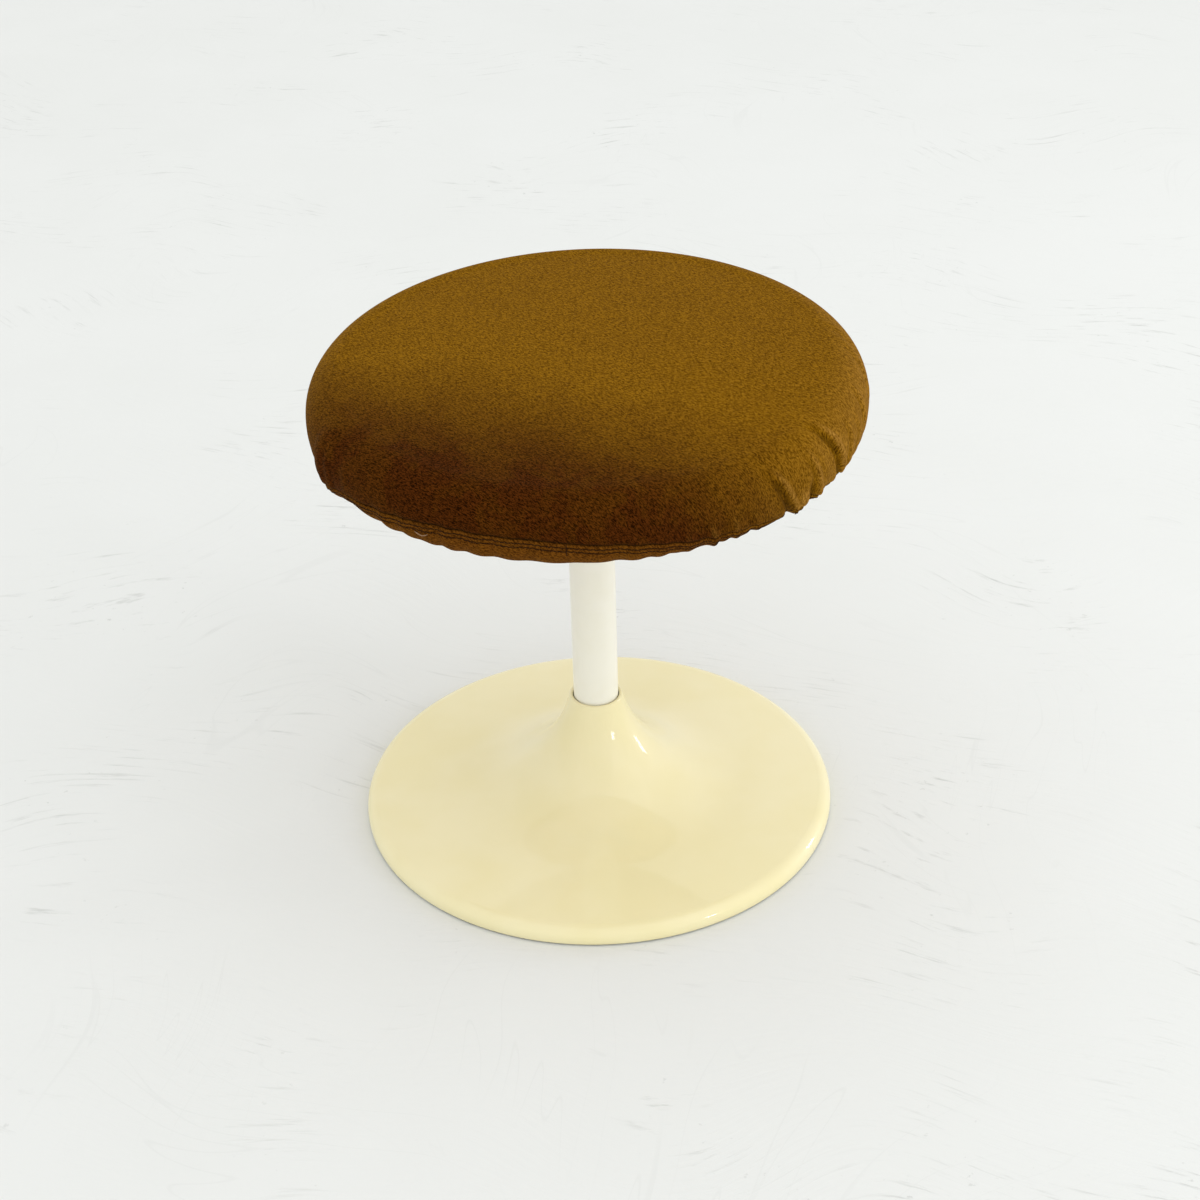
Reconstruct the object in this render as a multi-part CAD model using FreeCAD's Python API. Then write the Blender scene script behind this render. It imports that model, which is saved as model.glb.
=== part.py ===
"""Tulip stool: a round padded seat that swivels on a steel post, in a moulded trumpet base.

Millimetres, +Z up. The origin is the centre of the base on the floor, and +Y points to the stool's back.
Every turned piece is an outline in the XZ plane, where X is the distance from the post's axis.
"""
import FreeCAD, Part
import math
import os

os.makedirs("parts", exist_ok=True)

# Overall sizes
SEAT_HEIGHT = 400.0
SEAT_DIA = 408.0
BASE_DIA = 372.0
COLLAR_HEIGHT = 101.6
POST_DIA = 35.0

# Base cover: the wall, the rolled rim, the nearly flat disc and the flare up to the collar
SHELL_WALL = 3.0
RIM_ROLL = 10.0
RIM_TUCK_ANGLE = 18.0
DISC_SLOPE = 4.0
FLOOR_GAP = 1.5
FLARE_DIA = 230.0
FLARE_TOP_ANGLE = 80.0
FLARE_TOP_PULL = 40.0
FLARE_FOOT_PULL = 50.0
COLLAR_GAP = 0.55
RIB_COUNT = 8
RIB_THICK = 2.0
RIB_END_GAP = 8.0
BOSS_COUNT = 4
BOSS_PITCH_DIA = 160.0
BOSS_DIA = 10.0
BOSS_ROOF = 1.0
BOSS_FIRST_ANGLE = 0.0

# Cast weight
BALLAST_UNDERSIDE = 3.5
BALLAST_THICK = 5.5
BALLAST_MARGIN = 14.0
BALLAST_BOSS_HEIGHT = 5.5
BALLAST_BOSS_LEDGE = 2.0
BALLAST_BOSS_DRAFT = 6.0
BALLAST_BORE_GAP = 1.0
EDGE_BREAK = 1.0

# Rubber ring that the stool stands on
RING_WIDTH = 16.0
RING_GRIP = 3.5
RING_LIP = 3.5
RING_FIT = 0.2
RING_ROUND = 1.0

# Post and its welded flange
POST_WALL = 2.0
FLANGE_DIA = 100.0
FLANGE_THICK = 4.0
FLANGE_WELD = 4.0
FLANGE_BOLT_COUNT = 4
FLANGE_FIRST_ANGLE = 45.0

# Swivel: spindle, bushes, thrust washer and what keeps the spindle down
SPINDLE_DIA = 20.0
SPINDLE_TOP_STAND = 3.0
SPINDLE_CHAMFER = 1.0
SPINDLE_TAIL = 3.5
BUSH_LENGTH = 30.0
BUSH_FLANGE = 3.0
RUNNING_FIT = 0.06
THRUST_THICK = 2.0
THRUST_INSET = 1.0
HUB_DIA = 36.0
HUB_HEIGHT = 8.5
KEEPER_WIDTH = 3.0
KEEPER_THICK = 1.5
END_PLAY = 0.2
CLIP_THICK = 1.2
CLIP_WIDTH = 2.8
CLIP_OPENING_ANGLE = 40.0
CLIP_EYE_DIA = 4.0
CLIP_EYE_HOLE_DIA = 1.6
GROOVE_DEPTH = 0.8
GROOVE_SLACK = 0.1

# Dished plate under the seat
PLATE_DIA = 150.0
PLATE_THICK = 2.5
PLATE_DISH_DEPTH = 10.0
PLATE_DISH_DIA = 96.0
PLATE_CENTRE_DIA = 52.0
PLATE_WELD = 3.0
PLATE_BOLT_COUNT = 4
PLATE_FIRST_ANGLE = 45.0

# Seat board, padding and cover
BOARD_THICK = 15.0
BOARD_ROUND = 2.0
FOAM_TRIM = 3.0
CUSHION_SHOULDER = 28.0
CROWN_RISE = 7.0
SIDE_HEIGHT = 9.0
TUCK_RADIUS = 16.0
TUCK_ANGLE = 70.0
HEM_RISE = 1.5
CLOTH_THICK = 1.0
ELASTIC_THICK = 0.9
ELASTIC_ANGLE = 46.0
SOFT_GAP = 0.3

# Gaps round what is pressed, welded or threaded in, and round a screw's shank
PRESS_FIT = 0.05
SCREW_FIT = 0.3

# How far a cutting shape runs on past a face
PAST = 1.0

# Screws, washers and nuts
SCREW_POINT = 1.0
SHELL_SCREW_DIA = 3.1
SHELL_SCREW_CLEARANCE = 1.4
SHELL_SCREW_HEAD_DIA = 7.6
SHELL_SCREW_HEAD = 2.0
SHELL_SCREW_POINT = 3.0
SHELL_SCREW_SLOT = 0.9
SHELL_WASHER_DIA = 9.6
SHELL_WASHER_THICK = 0.8
BOLT_DIA = 6.0
FLAT_HEAD_DIA = 12.0
FLAT_HEAD_EDGE = 0.4
FLAT_HEAD_HEIGHT = 3.4
SOCKET_ACROSS = 4.0
SOCKET_DEPTH = 2.0
HEX_ACROSS = 10.0
HEX_CHAMFER = 0.5
HEX_HEAD = 4.0
NUT_HEIGHT = 5.0
BOLT_STAND = 2.0
WASHER_DIA = 12.4
WASHER_THICK = 1.2
TEE_FLANGE_DIA = 18.0
TEE_FLANGE = 1.5
TEE_BARREL_WALL = 1.2
TEE_BARREL = 9.0
TEE_SCREW_SPARE = 2.0

# Radii and levels worked out from the sizes above
BASE_R = BASE_DIA / 2
SEAT_R = SEAT_DIA / 2
POST_R = POST_DIA / 2
POST_BORE_R = POST_R - POST_WALL
SPINDLE_R = SPINDLE_DIA / 2
BOLT_R = BOLT_DIA / 2
FLARE_R = FLARE_DIA / 2
COLLAR_BORE_R = POST_R + COLLAR_GAP
LIP_R = SHELL_WALL / 2
BALLAST_R = BASE_R - BALLAST_MARGIN
BALLAST_TOP = BALLAST_UNDERSIDE + BALLAST_THICK
POST_FOOT = BALLAST_TOP + BALLAST_BOSS_HEIGHT
FLANGE_TOP = POST_FOOT + FLANGE_THICK
BALLAST_BOSS_R = FLANGE_DIA / 2 + BALLAST_BOSS_LEDGE
KEEPER_R = SPINDLE_R + KEEPER_WIDTH
BALLAST_BORE_R = KEEPER_R + BALLAST_BORE_GAP

SHOULDER_R = SEAT_R - CUSHION_SHOULDER
SHOULDER_Z = SEAT_HEIGHT - CROWN_RISE - CUSHION_SHOULDER
TUCK_R = SEAT_R - TUCK_RADIUS
TUCK_Z = SHOULDER_Z - SIDE_HEIGHT
HEM_TOP = TUCK_Z + HEM_RISE
BAND_THICK = 2 * CLOTH_THICK + 2 * SOFT_GAP + ELASTIC_THICK
BOARD_R = TUCK_R + BOARD_ROUND
BOARD_UNDERSIDE = TUCK_Z - TUCK_RADIUS + BAND_THICK + SOFT_GAP
BOARD_TOP = BOARD_UNDERSIDE + BOARD_THICK

PLATE_UNDERSIDE = BOARD_UNDERSIDE - PLATE_THICK
HUB_TOP = PLATE_UNDERSIDE - PLATE_DISH_DEPTH
HUB_FOOT = HUB_TOP - HUB_HEIGHT
POST_TOP = HUB_FOOT - THRUST_THICK - BUSH_FLANGE
KEEPER_FOOT = POST_FOOT - END_PLAY - KEEPER_THICK
CLIP_FOOT = KEEPER_FOOT - CLIP_THICK
GROOVE_R = SPINDLE_R - GROOVE_DEPTH

UP = FreeCAD.Vector(0, 0, 1)
ORIGIN = FreeCAD.Vector(0, 0, 0)


# Drawing tools

def at(radius, height):
    """The point at a radius and a height in the XZ plane."""
    return FreeCAD.Vector(radius, 0, height)


def toward(angle, length=1.0):
    """An arrow in the XZ plane, at an angle in degrees up from +X."""
    turn = math.radians(angle)
    return FreeCAD.Vector(length * math.cos(turn), 0, length * math.sin(turn))


def arc(centre, radius, start, end):
    """The arc about a centre from one angle to another, in degrees up from +X."""
    middle = (start + end) / 2
    return Part.Arc(
        centre + toward(start, radius),
        centre + toward(middle, radius),
        centre + toward(end, radius),
    )


def outline(*steps):
    """The closed wire through points and curves, in order.

    A curve after the first step is run from its nearer end, and straight lines join what is apart.
    """
    edges = []
    first = here = None
    for step in steps:
        if isinstance(step, FreeCAD.Vector):
            start = end = step
        else:
            start, end = step.StartPoint, step.EndPoint
            edges.append(step.toShape())
        if here and here.distanceToPoint(end) < here.distanceToPoint(start):
            start, end = end, start
        if here and not here.isEqual(start, Part.Precision.confusion()):
            edges.append(Part.LineSegment(here, start).toShape())
        first = first or start
        here = end
    if not here.isEqual(first, Part.Precision.confusion()):
        edges.append(Part.LineSegment(here, first).toShape())
    return Part.Wire(Part.__sortEdges__(edges))


def turned(wire, hole=None):
    """The solid that an outline sweeps about the post's axis, with a closed channel if a hole is given."""
    face = Part.Face([wire, hole]) if hole else Part.Face(wire)
    return face.revolve(ORIGIN, UP, 360)


def ring(inner, outer, bottom, top):
    """A plain ring between two radii and two heights."""
    return turned(outline(at(inner, bottom), at(outer, bottom), at(outer, top), at(inner, top)))


def rotated(shape, angle):
    """A copy of a shape turned about the axis."""
    copy = shape.copy()
    copy.rotate(ORIGIN, UP, angle)
    return copy


def around(shape, radius, count, first_angle):
    """Copies of a shape made on the axis, moved out to a pitch circle and turned evenly round it."""
    moved = shape.translated(at(radius, 0))
    return [rotated(moved, first_angle + 360.0 * index / count) for index in range(count)]


def hexagon(across, bottom, height):
    """A six-sided prism on the axis, with the given size across its flats."""
    corner = across / 2 / math.cos(math.radians(30))
    turns = [math.radians(60.0 * side) for side in range(7)]
    points = [FreeCAD.Vector(corner * math.cos(turn), corner * math.sin(turn), bottom) for turn in turns]
    return Part.Face(Part.makePolygon(points)).extrude(UP * height)


def hexagon_chamfered(across, bottom, height, lower, upper):
    """A hexagon whose corners are taken off by a turned edge at the ends that are asked for."""
    corner = across / 2 / math.cos(math.radians(30))
    top = bottom + height
    inset = across / 2 - HEX_CHAMFER / 2
    below = [at(inset, bottom), at(corner, bottom + HEX_CHAMFER)] if lower else [at(corner, bottom)]
    above = [at(corner, top - HEX_CHAMFER), at(inset, top)] if upper else [at(corner, top)]
    blank = turned(outline(at(0, bottom), *below, *above, at(0, top)))
    return hexagon(across, bottom, height).common(blank)


def save(node, *solids):
    """Writes a node's STEP file, with all of its solids."""
    shape = solids[0] if len(solids) == 1 else Part.makeCompound(list(solids))
    shape.exportStep("parts/" + node + ".step")


# Base cover

RIM_CENTRE = at(BASE_R - RIM_ROLL, FLOOR_GAP + RIM_ROLL * math.sin(math.radians(RIM_TUCK_ANGLE)))
LIP_CENTRE = at(COLLAR_BORE_R + LIP_R, COLLAR_HEIGHT - LIP_R)
RISING_ANGLE = 90.0 - DISC_SLOPE


def disc_foot(depth):
    """Where the disc meets the flare, this deep in the wall."""
    rim_top = RIM_CENTRE + toward(RISING_ANGLE, RIM_ROLL)
    run = rim_top.x - FLARE_R
    surface = at(FLARE_R, rim_top.z + run * math.tan(math.radians(DISC_SLOPE)))
    return surface - toward(RISING_ANGLE, depth)


def flare_poles(depth):
    """The four poles of the flare's curve, from the disc up to the collar, this deep in the wall."""
    foot = disc_foot(depth)
    top = LIP_CENTRE + toward(90.0 - FLARE_TOP_ANGLE, LIP_R - depth)
    return [
        foot,
        foot + toward(180.0 - DISC_SLOPE, FLARE_FOOT_PULL),
        top - toward(180.0 - FLARE_TOP_ANGLE, FLARE_TOP_PULL),
        top,
    ]


def skin(depth):
    """The rim, the disc and the flare from the floor up, this deep in the wall."""
    foot = disc_foot(depth)
    rim = arc(RIM_CENTRE, RIM_ROLL - depth, -RIM_TUCK_ANGLE, RISING_ANGLE)
    flare = Part.BezierCurve()
    flare.setPoles(flare_poles(depth))
    return [rim, Part.LineSegment(rim.EndPoint, foot), flare]


def skin_height(depth, radius):
    """How high the disc and flare are at a radius, this deep in the wall."""
    plumb = Part.LineSegment(at(radius, 0), at(radius, COLLAR_HEIGHT)).toShape()
    profile = Part.Wire([curve.toShape() for curve in skin(depth)[1:]])
    crossing = plumb.distToShape(profile)[1][0][0]
    return crossing.z


SHELL_BOSS_R = BOSS_PITCH_DIA / 2
PILOT_TOP = skin_height(SHELL_WALL, SHELL_BOSS_R + BOSS_DIA / 2) - BOSS_ROOF


def base_shell():
    """The moulded cover: a wall with a round lip at the collar, and ribs and screw bosses under it."""
    lip_start = 90.0 - FLARE_TOP_ANGLE
    lip_top = lip_start + 90.0
    wall = turned(outline(
        *skin(0),
        arc(LIP_CENTRE, LIP_R, lip_start, lip_top),
        arc(LIP_CENTRE, LIP_R, lip_top, lip_top + 90.0),
        *reversed(skin(SHELL_WALL)),
    ))
    middle = skin(LIP_R)
    under = turned(outline(*middle, at(0, middle[-1].EndPoint.z), at(0, middle[0].StartPoint.z)))

    rib_start = BALLAST_BOSS_R + BALLAST_BOSS_DRAFT + RIB_END_GAP
    rib_length = BALLAST_R - RIB_END_GAP - rib_start
    corner = FreeCAD.Vector(rib_start, -RIB_THICK / 2, BALLAST_TOP)
    rib = Part.makeBox(rib_length, RIB_THICK, COLLAR_HEIGHT, corner).common(under)
    ribs = around(rib, 0, RIB_COUNT, 180.0 / RIB_COUNT)

    pillar = ring(SHELL_SCREW_DIA / 2 + PRESS_FIT, BOSS_DIA / 2, BALLAST_TOP, PILOT_TOP)
    roof = Part.makeCylinder(BOSS_DIA / 2, COLLAR_HEIGHT, at(0, PILOT_TOP), UP)
    boss = pillar.fuse(roof).translated(at(SHELL_BOSS_R, 0)).common(under)
    bosses = around(boss, 0, BOSS_COUNT, BOSS_FIRST_ANGLE)
    return wall.multiFuse(ribs + bosses)


# Weight, ring and their screws

def at_shell_screws(shape):
    """A shape at each screw of the cover."""
    return around(shape, SHELL_BOSS_R, BOSS_COUNT, BOSS_FIRST_ANGLE)


def at_flange_bolts(shape):
    """A shape at each bolt of the post's flange, midway between its weld and its edge."""
    pitch_r = (POST_R + FLANGE_WELD + FLANGE_DIA / 2) / 2
    return around(shape, pitch_r, FLANGE_BOLT_COUNT, FLANGE_FIRST_ANGLE)


def flat_head(bottom, top, head_fit=0.0, shank_fit=0.0):
    """A countersunk bolt's head and shank on the axis, flush with the weight, larger by the fits given."""
    head = FLAT_HEAD_DIA / 2 + head_fit
    shank = BOLT_R + shank_fit
    neck = BALLAST_UNDERSIDE + FLAT_HEAD_HEIGHT
    return turned(outline(
        at(0, bottom),
        at(head, bottom),
        at(head, BALLAST_UNDERSIDE + FLAT_HEAD_EDGE),
        at(shank, neck),
        at(shank, top),
        at(0, top),
    ))


SHELL_SCREW_SEAT = BALLAST_UNDERSIDE + SHELL_SCREW_HEAD + SHELL_WASHER_THICK


def ballast_disc():
    """The cast weight: a disc with a raised middle, bored for the spindle and drilled for the screws."""
    bottom, top = BALLAST_UNDERSIDE, BALLAST_TOP
    blank = turned(outline(
        at(BALLAST_BORE_R, bottom),
        at(BALLAST_R - EDGE_BREAK, bottom),
        at(BALLAST_R, bottom + EDGE_BREAK),
        at(BALLAST_R, top - EDGE_BREAK),
        at(BALLAST_R - EDGE_BREAK, top),
        at(BALLAST_BOSS_R + BALLAST_BOSS_DRAFT, top),
        at(BALLAST_BOSS_R, POST_FOOT),
        at(BALLAST_BORE_R, POST_FOOT),
    ))
    shank = SHELL_SCREW_DIA / 2 + SCREW_FIT
    pocket = SHELL_WASHER_DIA / 2 + SCREW_FIT
    shell_hole = turned(outline(
        at(0, bottom - PAST),
        at(pocket, bottom - PAST),
        at(pocket, SHELL_SCREW_SEAT),
        at(shank, SHELL_SCREW_SEAT),
        at(shank, top + PAST),
        at(0, top + PAST),
    ))
    bolt_hole = flat_head(bottom - PAST, POST_FOOT + PAST, PRESS_FIT, SCREW_FIT)
    return blank.cut(at_shell_screws(shell_hole) + at_flange_bolts(bolt_hole))


def floor_ring():
    """The rubber ring under the weight's edge, with a lip that grips it all round."""
    outer = BALLAST_R + RING_FIT + RING_LIP
    inner = outer - RING_WIDTH
    grip = BALLAST_UNDERSIDE + RING_GRIP
    return turned(outline(
        at(inner, BALLAST_UNDERSIDE),
        at(inner, RING_ROUND),
        at(inner + RING_ROUND, 0),
        at(outer - RING_ROUND, 0),
        at(outer, RING_ROUND),
        at(outer, grip - RING_ROUND),
        at(outer - RING_ROUND, grip),
        at(BALLAST_R + RING_FIT, grip),
        at(BALLAST_R + RING_FIT, BALLAST_UNDERSIDE),
    ))


def shell_screws():
    """Cross-slotted screws from below the weight into the cover's bosses."""
    foot = BALLAST_UNDERSIDE
    head_top = foot + SHELL_SCREW_HEAD
    tip = PILOT_TOP - SHELL_SCREW_CLEARANCE
    shank = SHELL_SCREW_DIA / 2
    head = SHELL_SCREW_HEAD_DIA / 2
    screw = turned(outline(
        at(0, foot),
        at(head - EDGE_BREAK, foot),
        at(head, foot + EDGE_BREAK),
        at(head, head_top),
        at(shank, head_top),
        at(shank, tip - SHELL_SCREW_POINT),
        at(0, tip),
    ))
    corner = FreeCAD.Vector(-head / 2, -SHELL_SCREW_SLOT / 2, foot)
    slot = Part.makeBox(head, SHELL_SCREW_SLOT, SHELL_SCREW_HEAD / 2, corner)
    return at_shell_screws(screw.cut([slot, rotated(slot, 90)]))


def shell_screw_washers():
    """The washers under the cover's screws, in the weight's pockets."""
    bore = SHELL_SCREW_DIA / 2 + PRESS_FIT
    washer = ring(bore, SHELL_WASHER_DIA / 2, SHELL_SCREW_SEAT - SHELL_WASHER_THICK, SHELL_SCREW_SEAT)
    return at_shell_screws(washer)


# Post

def post_tube():
    """The steel tube."""
    return ring(POST_BORE_R, POST_R, POST_FOOT, POST_TOP)


def post_flange():
    """The plate at the post's foot, with its weld bead and four bolt holes."""
    bore = POST_R + PRESS_FIT
    plate = turned(outline(
        at(bore, POST_FOOT),
        at(FLANGE_DIA / 2, POST_FOOT),
        at(FLANGE_DIA / 2, FLANGE_TOP - EDGE_BREAK),
        at(FLANGE_DIA / 2 - EDGE_BREAK, FLANGE_TOP),
        at(bore + FLANGE_WELD, FLANGE_TOP),
        at(bore, FLANGE_TOP + FLANGE_WELD),
    ))
    hole = Part.makeCylinder(BOLT_R + SCREW_FIT, FLANGE_THICK, at(0, POST_FOOT), UP)
    return plate.cut(at_flange_bolts(hole))


FLANGE_NUT_FOOT = FLANGE_TOP + WASHER_THICK


def flange_bolts():
    """Countersunk bolts, flush with the weight's underside, up through the flange."""
    tip = FLANGE_NUT_FOOT + NUT_HEIGHT + BOLT_STAND
    sharp = turned(outline(
        at(BOLT_R, tip - SCREW_POINT),
        at(BOLT_R + PAST, tip - SCREW_POINT),
        at(BOLT_R + PAST, tip + PAST),
        at(BOLT_R - SCREW_POINT, tip + PAST),
        at(BOLT_R - SCREW_POINT, tip),
    ))
    socket = hexagon(SOCKET_ACROSS, BALLAST_UNDERSIDE, SOCKET_DEPTH)
    bolt = flat_head(BALLAST_UNDERSIDE, tip).cut([sharp, socket])
    return at_flange_bolts(bolt)


def flange_washers():
    """The washers on top of the flange."""
    washer = ring(BOLT_R + PRESS_FIT, WASHER_DIA / 2, FLANGE_TOP, FLANGE_NUT_FOOT)
    return at_flange_bolts(washer)


def flange_nuts():
    """The nuts on the flange's bolts."""
    nut = hexagon_chamfered(HEX_ACROSS, FLANGE_NUT_FOOT, NUT_HEIGHT, True, True)
    bore = Part.makeCylinder(BOLT_R + PRESS_FIT, NUT_HEIGHT, at(0, FLANGE_NUT_FOOT), UP)
    return at_flange_bolts(nut.cut(bore))


# Swivel

BUSH_R = POST_BORE_R - PRESS_FIT
BUSH_BORE_R = SPINDLE_R + RUNNING_FIT


def lower_bush():
    """The plain bush in the post's foot, which stands on the weight."""
    top = POST_FOOT + BUSH_LENGTH
    return turned(outline(
        at(BUSH_BORE_R, POST_FOOT),
        at(BUSH_R, POST_FOOT),
        at(BUSH_R, top - EDGE_BREAK),
        at(BUSH_R - EDGE_BREAK, top),
        at(BUSH_BORE_R, top),
    ))


def upper_bush():
    """The flanged bush in the post's mouth."""
    foot = POST_TOP - BUSH_LENGTH
    top = POST_TOP + BUSH_FLANGE
    return turned(outline(
        at(BUSH_BORE_R, foot),
        at(BUSH_R - EDGE_BREAK, foot),
        at(BUSH_R, foot + EDGE_BREAK),
        at(BUSH_R, POST_TOP),
        at(POST_R, POST_TOP),
        at(POST_R, top),
        at(BUSH_BORE_R, top),
    ))


def thrust_washer():
    """The washer on the bush's flange, which carries the seat's hub."""
    foot = POST_TOP + BUSH_FLANGE
    return ring(SPINDLE_R + SCREW_FIT, POST_R - THRUST_INSET, foot, foot + THRUST_THICK)


def seat_spindle():
    """The seat's steel pin, with a groove near its lower end for the retaining clip."""
    foot = CLIP_FOOT - SPINDLE_TAIL
    top = HUB_TOP + PLATE_THICK + SPINDLE_TOP_STAND
    groove_top = KEEPER_FOOT + GROOVE_SLACK
    return turned(outline(
        at(0, foot),
        at(SPINDLE_R - SPINDLE_CHAMFER, foot),
        at(SPINDLE_R, foot + SPINDLE_CHAMFER),
        at(SPINDLE_R, CLIP_FOOT),
        at(GROOVE_R, CLIP_FOOT),
        at(GROOVE_R, groove_top),
        at(SPINDLE_R, groove_top),
        at(SPINDLE_R, top - SPINDLE_CHAMFER),
        at(SPINDLE_R - SPINDLE_CHAMFER, top),
        at(0, top),
    ))


def spindle_washer():
    """The washer between the clip and the lower bush."""
    return ring(SPINDLE_R + RUNNING_FIT, KEEPER_R, KEEPER_FOOT, KEEPER_FOOT + KEEPER_THICK)


def spindle_clip():
    """The open retaining ring in the spindle's groove, with an eye at each end."""
    inner = GROOVE_R + PRESS_FIT
    eye_r = CLIP_EYE_DIA / 2
    band = ring(inner, inner + CLIP_WIDTH, CLIP_FOOT, CLIP_FOOT + CLIP_THICK)
    half = CLIP_OPENING_ANGLE / 2
    reach = 2 * (inner + CLIP_WIDTH)
    sides = [rotated(Part.Vertex(at(reach, CLIP_FOOT)), turn).Point for turn in (-half, half)]
    mouth = Part.Face(Part.makePolygon([at(0, CLIP_FOOT), *sides, at(0, CLIP_FOOT)]))
    band = band.cut(mouth.extrude(UP * CLIP_THICK))
    eye_place = at(inner + eye_r, CLIP_FOOT)
    eye = rotated(Part.makeCylinder(eye_r, CLIP_THICK, eye_place, UP), half)
    hole = rotated(Part.makeCylinder(CLIP_EYE_HOLE_DIA / 2, CLIP_THICK, eye_place, UP), half)
    clip = band.fuse([eye, rotated(eye, -CLIP_OPENING_ANGLE)])
    return clip.cut([hole, rotated(hole, -CLIP_OPENING_ANGLE)])


# Seat mounting

def seat_hub():
    """The collar on the spindle, on which the plate is welded."""
    bore = SPINDLE_R + PRESS_FIT
    hub_r = HUB_DIA / 2
    return turned(outline(
        at(bore, HUB_FOOT),
        at(hub_r - EDGE_BREAK, HUB_FOOT),
        at(hub_r, HUB_FOOT + EDGE_BREAK),
        at(hub_r, HUB_TOP),
        at(bore, HUB_TOP),
    ))


def at_plate_screws(shape):
    """A shape at each screw of the plate, in the middle of its flat rim."""
    pitch_r = (PLATE_DISH_DIA + PLATE_DIA) / 4
    return around(shape, pitch_r, PLATE_BOLT_COUNT, PLATE_FIRST_ANGLE)


def seat_plate():
    """The dished plate: a flat rim under the board, and a lowered middle welded to hub and spindle."""
    bore = SPINDLE_R + PRESS_FIT
    rim_r = PLATE_DIA / 2
    dish_r = PLATE_DISH_DIA / 2
    centre_r = PLATE_CENTRE_DIA / 2
    slope = math.atan2(PLATE_DISH_DEPTH, dish_r - centre_r)
    lower_shift = PLATE_THICK * math.tan(slope / 2)
    centre_top = HUB_TOP + PLATE_THICK
    plate = turned(outline(
        at(bore, HUB_TOP),
        at(centre_r + lower_shift, HUB_TOP),
        at(dish_r + lower_shift, PLATE_UNDERSIDE),
        at(rim_r, PLATE_UNDERSIDE),
        at(rim_r, BOARD_UNDERSIDE),
        at(dish_r, BOARD_UNDERSIDE),
        at(centre_r, centre_top),
        at(bore + PLATE_WELD, centre_top),
        at(bore, centre_top + PLATE_WELD),
    ))
    hole = Part.makeCylinder(BOLT_R + SCREW_FIT, PLATE_THICK, at(0, PLATE_UNDERSIDE), UP)
    return plate.cut(at_plate_screws(hole))


SEAT_WASHER_FOOT = PLATE_UNDERSIDE - WASHER_THICK
TEE_BARREL_R = BOLT_R + PRESS_FIT + TEE_BARREL_WALL
TEE_FOOT = BOARD_TOP - TEE_BARREL


def seat_screws():
    """Hexagon screws through the plate into the board's tee nuts."""
    head_foot = SEAT_WASHER_FOOT - HEX_HEAD
    tip = BOARD_TOP - TEE_SCREW_SPARE
    head = hexagon_chamfered(HEX_ACROSS, head_foot, HEX_HEAD, True, False)
    shank = turned(outline(
        at(0, SEAT_WASHER_FOOT),
        at(BOLT_R, SEAT_WASHER_FOOT),
        at(BOLT_R, tip - SCREW_POINT),
        at(BOLT_R - SCREW_POINT, tip),
        at(0, tip),
    ))
    return at_plate_screws(head.fuse(shank))


def seat_screw_washers():
    """The washers under the seat's screws."""
    washer = ring(BOLT_R + PRESS_FIT, WASHER_DIA / 2, SEAT_WASHER_FOOT, PLATE_UNDERSIDE)
    return at_plate_screws(washer)


def tee_nuts():
    """The nuts let into the top of the board."""
    flange_foot = BOARD_TOP - TEE_FLANGE
    nut = turned(outline(
        at(BOLT_R + PRESS_FIT, TEE_FOOT),
        at(TEE_BARREL_R, TEE_FOOT),
        at(TEE_BARREL_R, flange_foot),
        at(TEE_FLANGE_DIA / 2, flange_foot),
        at(TEE_FLANGE_DIA / 2, BOARD_TOP),
        at(BOLT_R + PRESS_FIT, BOARD_TOP),
    ))
    return at_plate_screws(nut)


# Board and cushion

def seat_board():
    """The round plywood board, with soft edges and stepped holes for the tee nuts."""
    edge_r = BOARD_R - BOARD_ROUND
    blank = turned(outline(
        at(0, BOARD_UNDERSIDE),
        arc(at(edge_r, BOARD_UNDERSIDE + BOARD_ROUND), BOARD_ROUND, -90, 0),
        arc(at(edge_r, BOARD_TOP - BOARD_ROUND), BOARD_ROUND, 0, 90),
        at(0, BOARD_TOP),
    ))
    barrel = TEE_BARREL_R + PRESS_FIT
    flange = TEE_FLANGE_DIA / 2 + PRESS_FIT
    step = BOARD_TOP - TEE_FLANGE
    hole = turned(outline(
        at(0, BOARD_UNDERSIDE - PAST),
        at(barrel, BOARD_UNDERSIDE - PAST),
        at(barrel, step),
        at(flange, step),
        at(flange, BOARD_TOP + PAST),
        at(0, BOARD_TOP + PAST),
    ))
    return blank.cut(at_plate_screws(hole))


CROWN_REACH = (SHOULDER_R ** 2 + CROWN_RISE ** 2) / (2 * CROWN_RISE)
CROWN_ANGLE = math.degrees(math.atan2(SHOULDER_R, CROWN_REACH - CROWN_RISE))
SHOULDER_CENTRE = at(SHOULDER_R, SHOULDER_Z)
CROWN_CENTRE = at(0, SEAT_HEIGHT - CUSHION_SHOULDER - CROWN_REACH)
TUCK_CENTRE = at(TUCK_R, TUCK_Z)


def shoulder_and_crown(depth):
    """The cushion's rounded shoulder and its crown up to the axis, this deep under the cloth's outside.

    The crown is an arc about a point on the axis, and it meets the shoulder's arc with no corner.
    """
    meet = 90.0 - CROWN_ANGLE
    return [
        arc(SHOULDER_CENTRE, CUSHION_SHOULDER - depth, 0, meet),
        arc(CROWN_CENTRE, CROWN_REACH + CUSHION_SHOULDER - depth, meet, 90),
    ]


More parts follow.
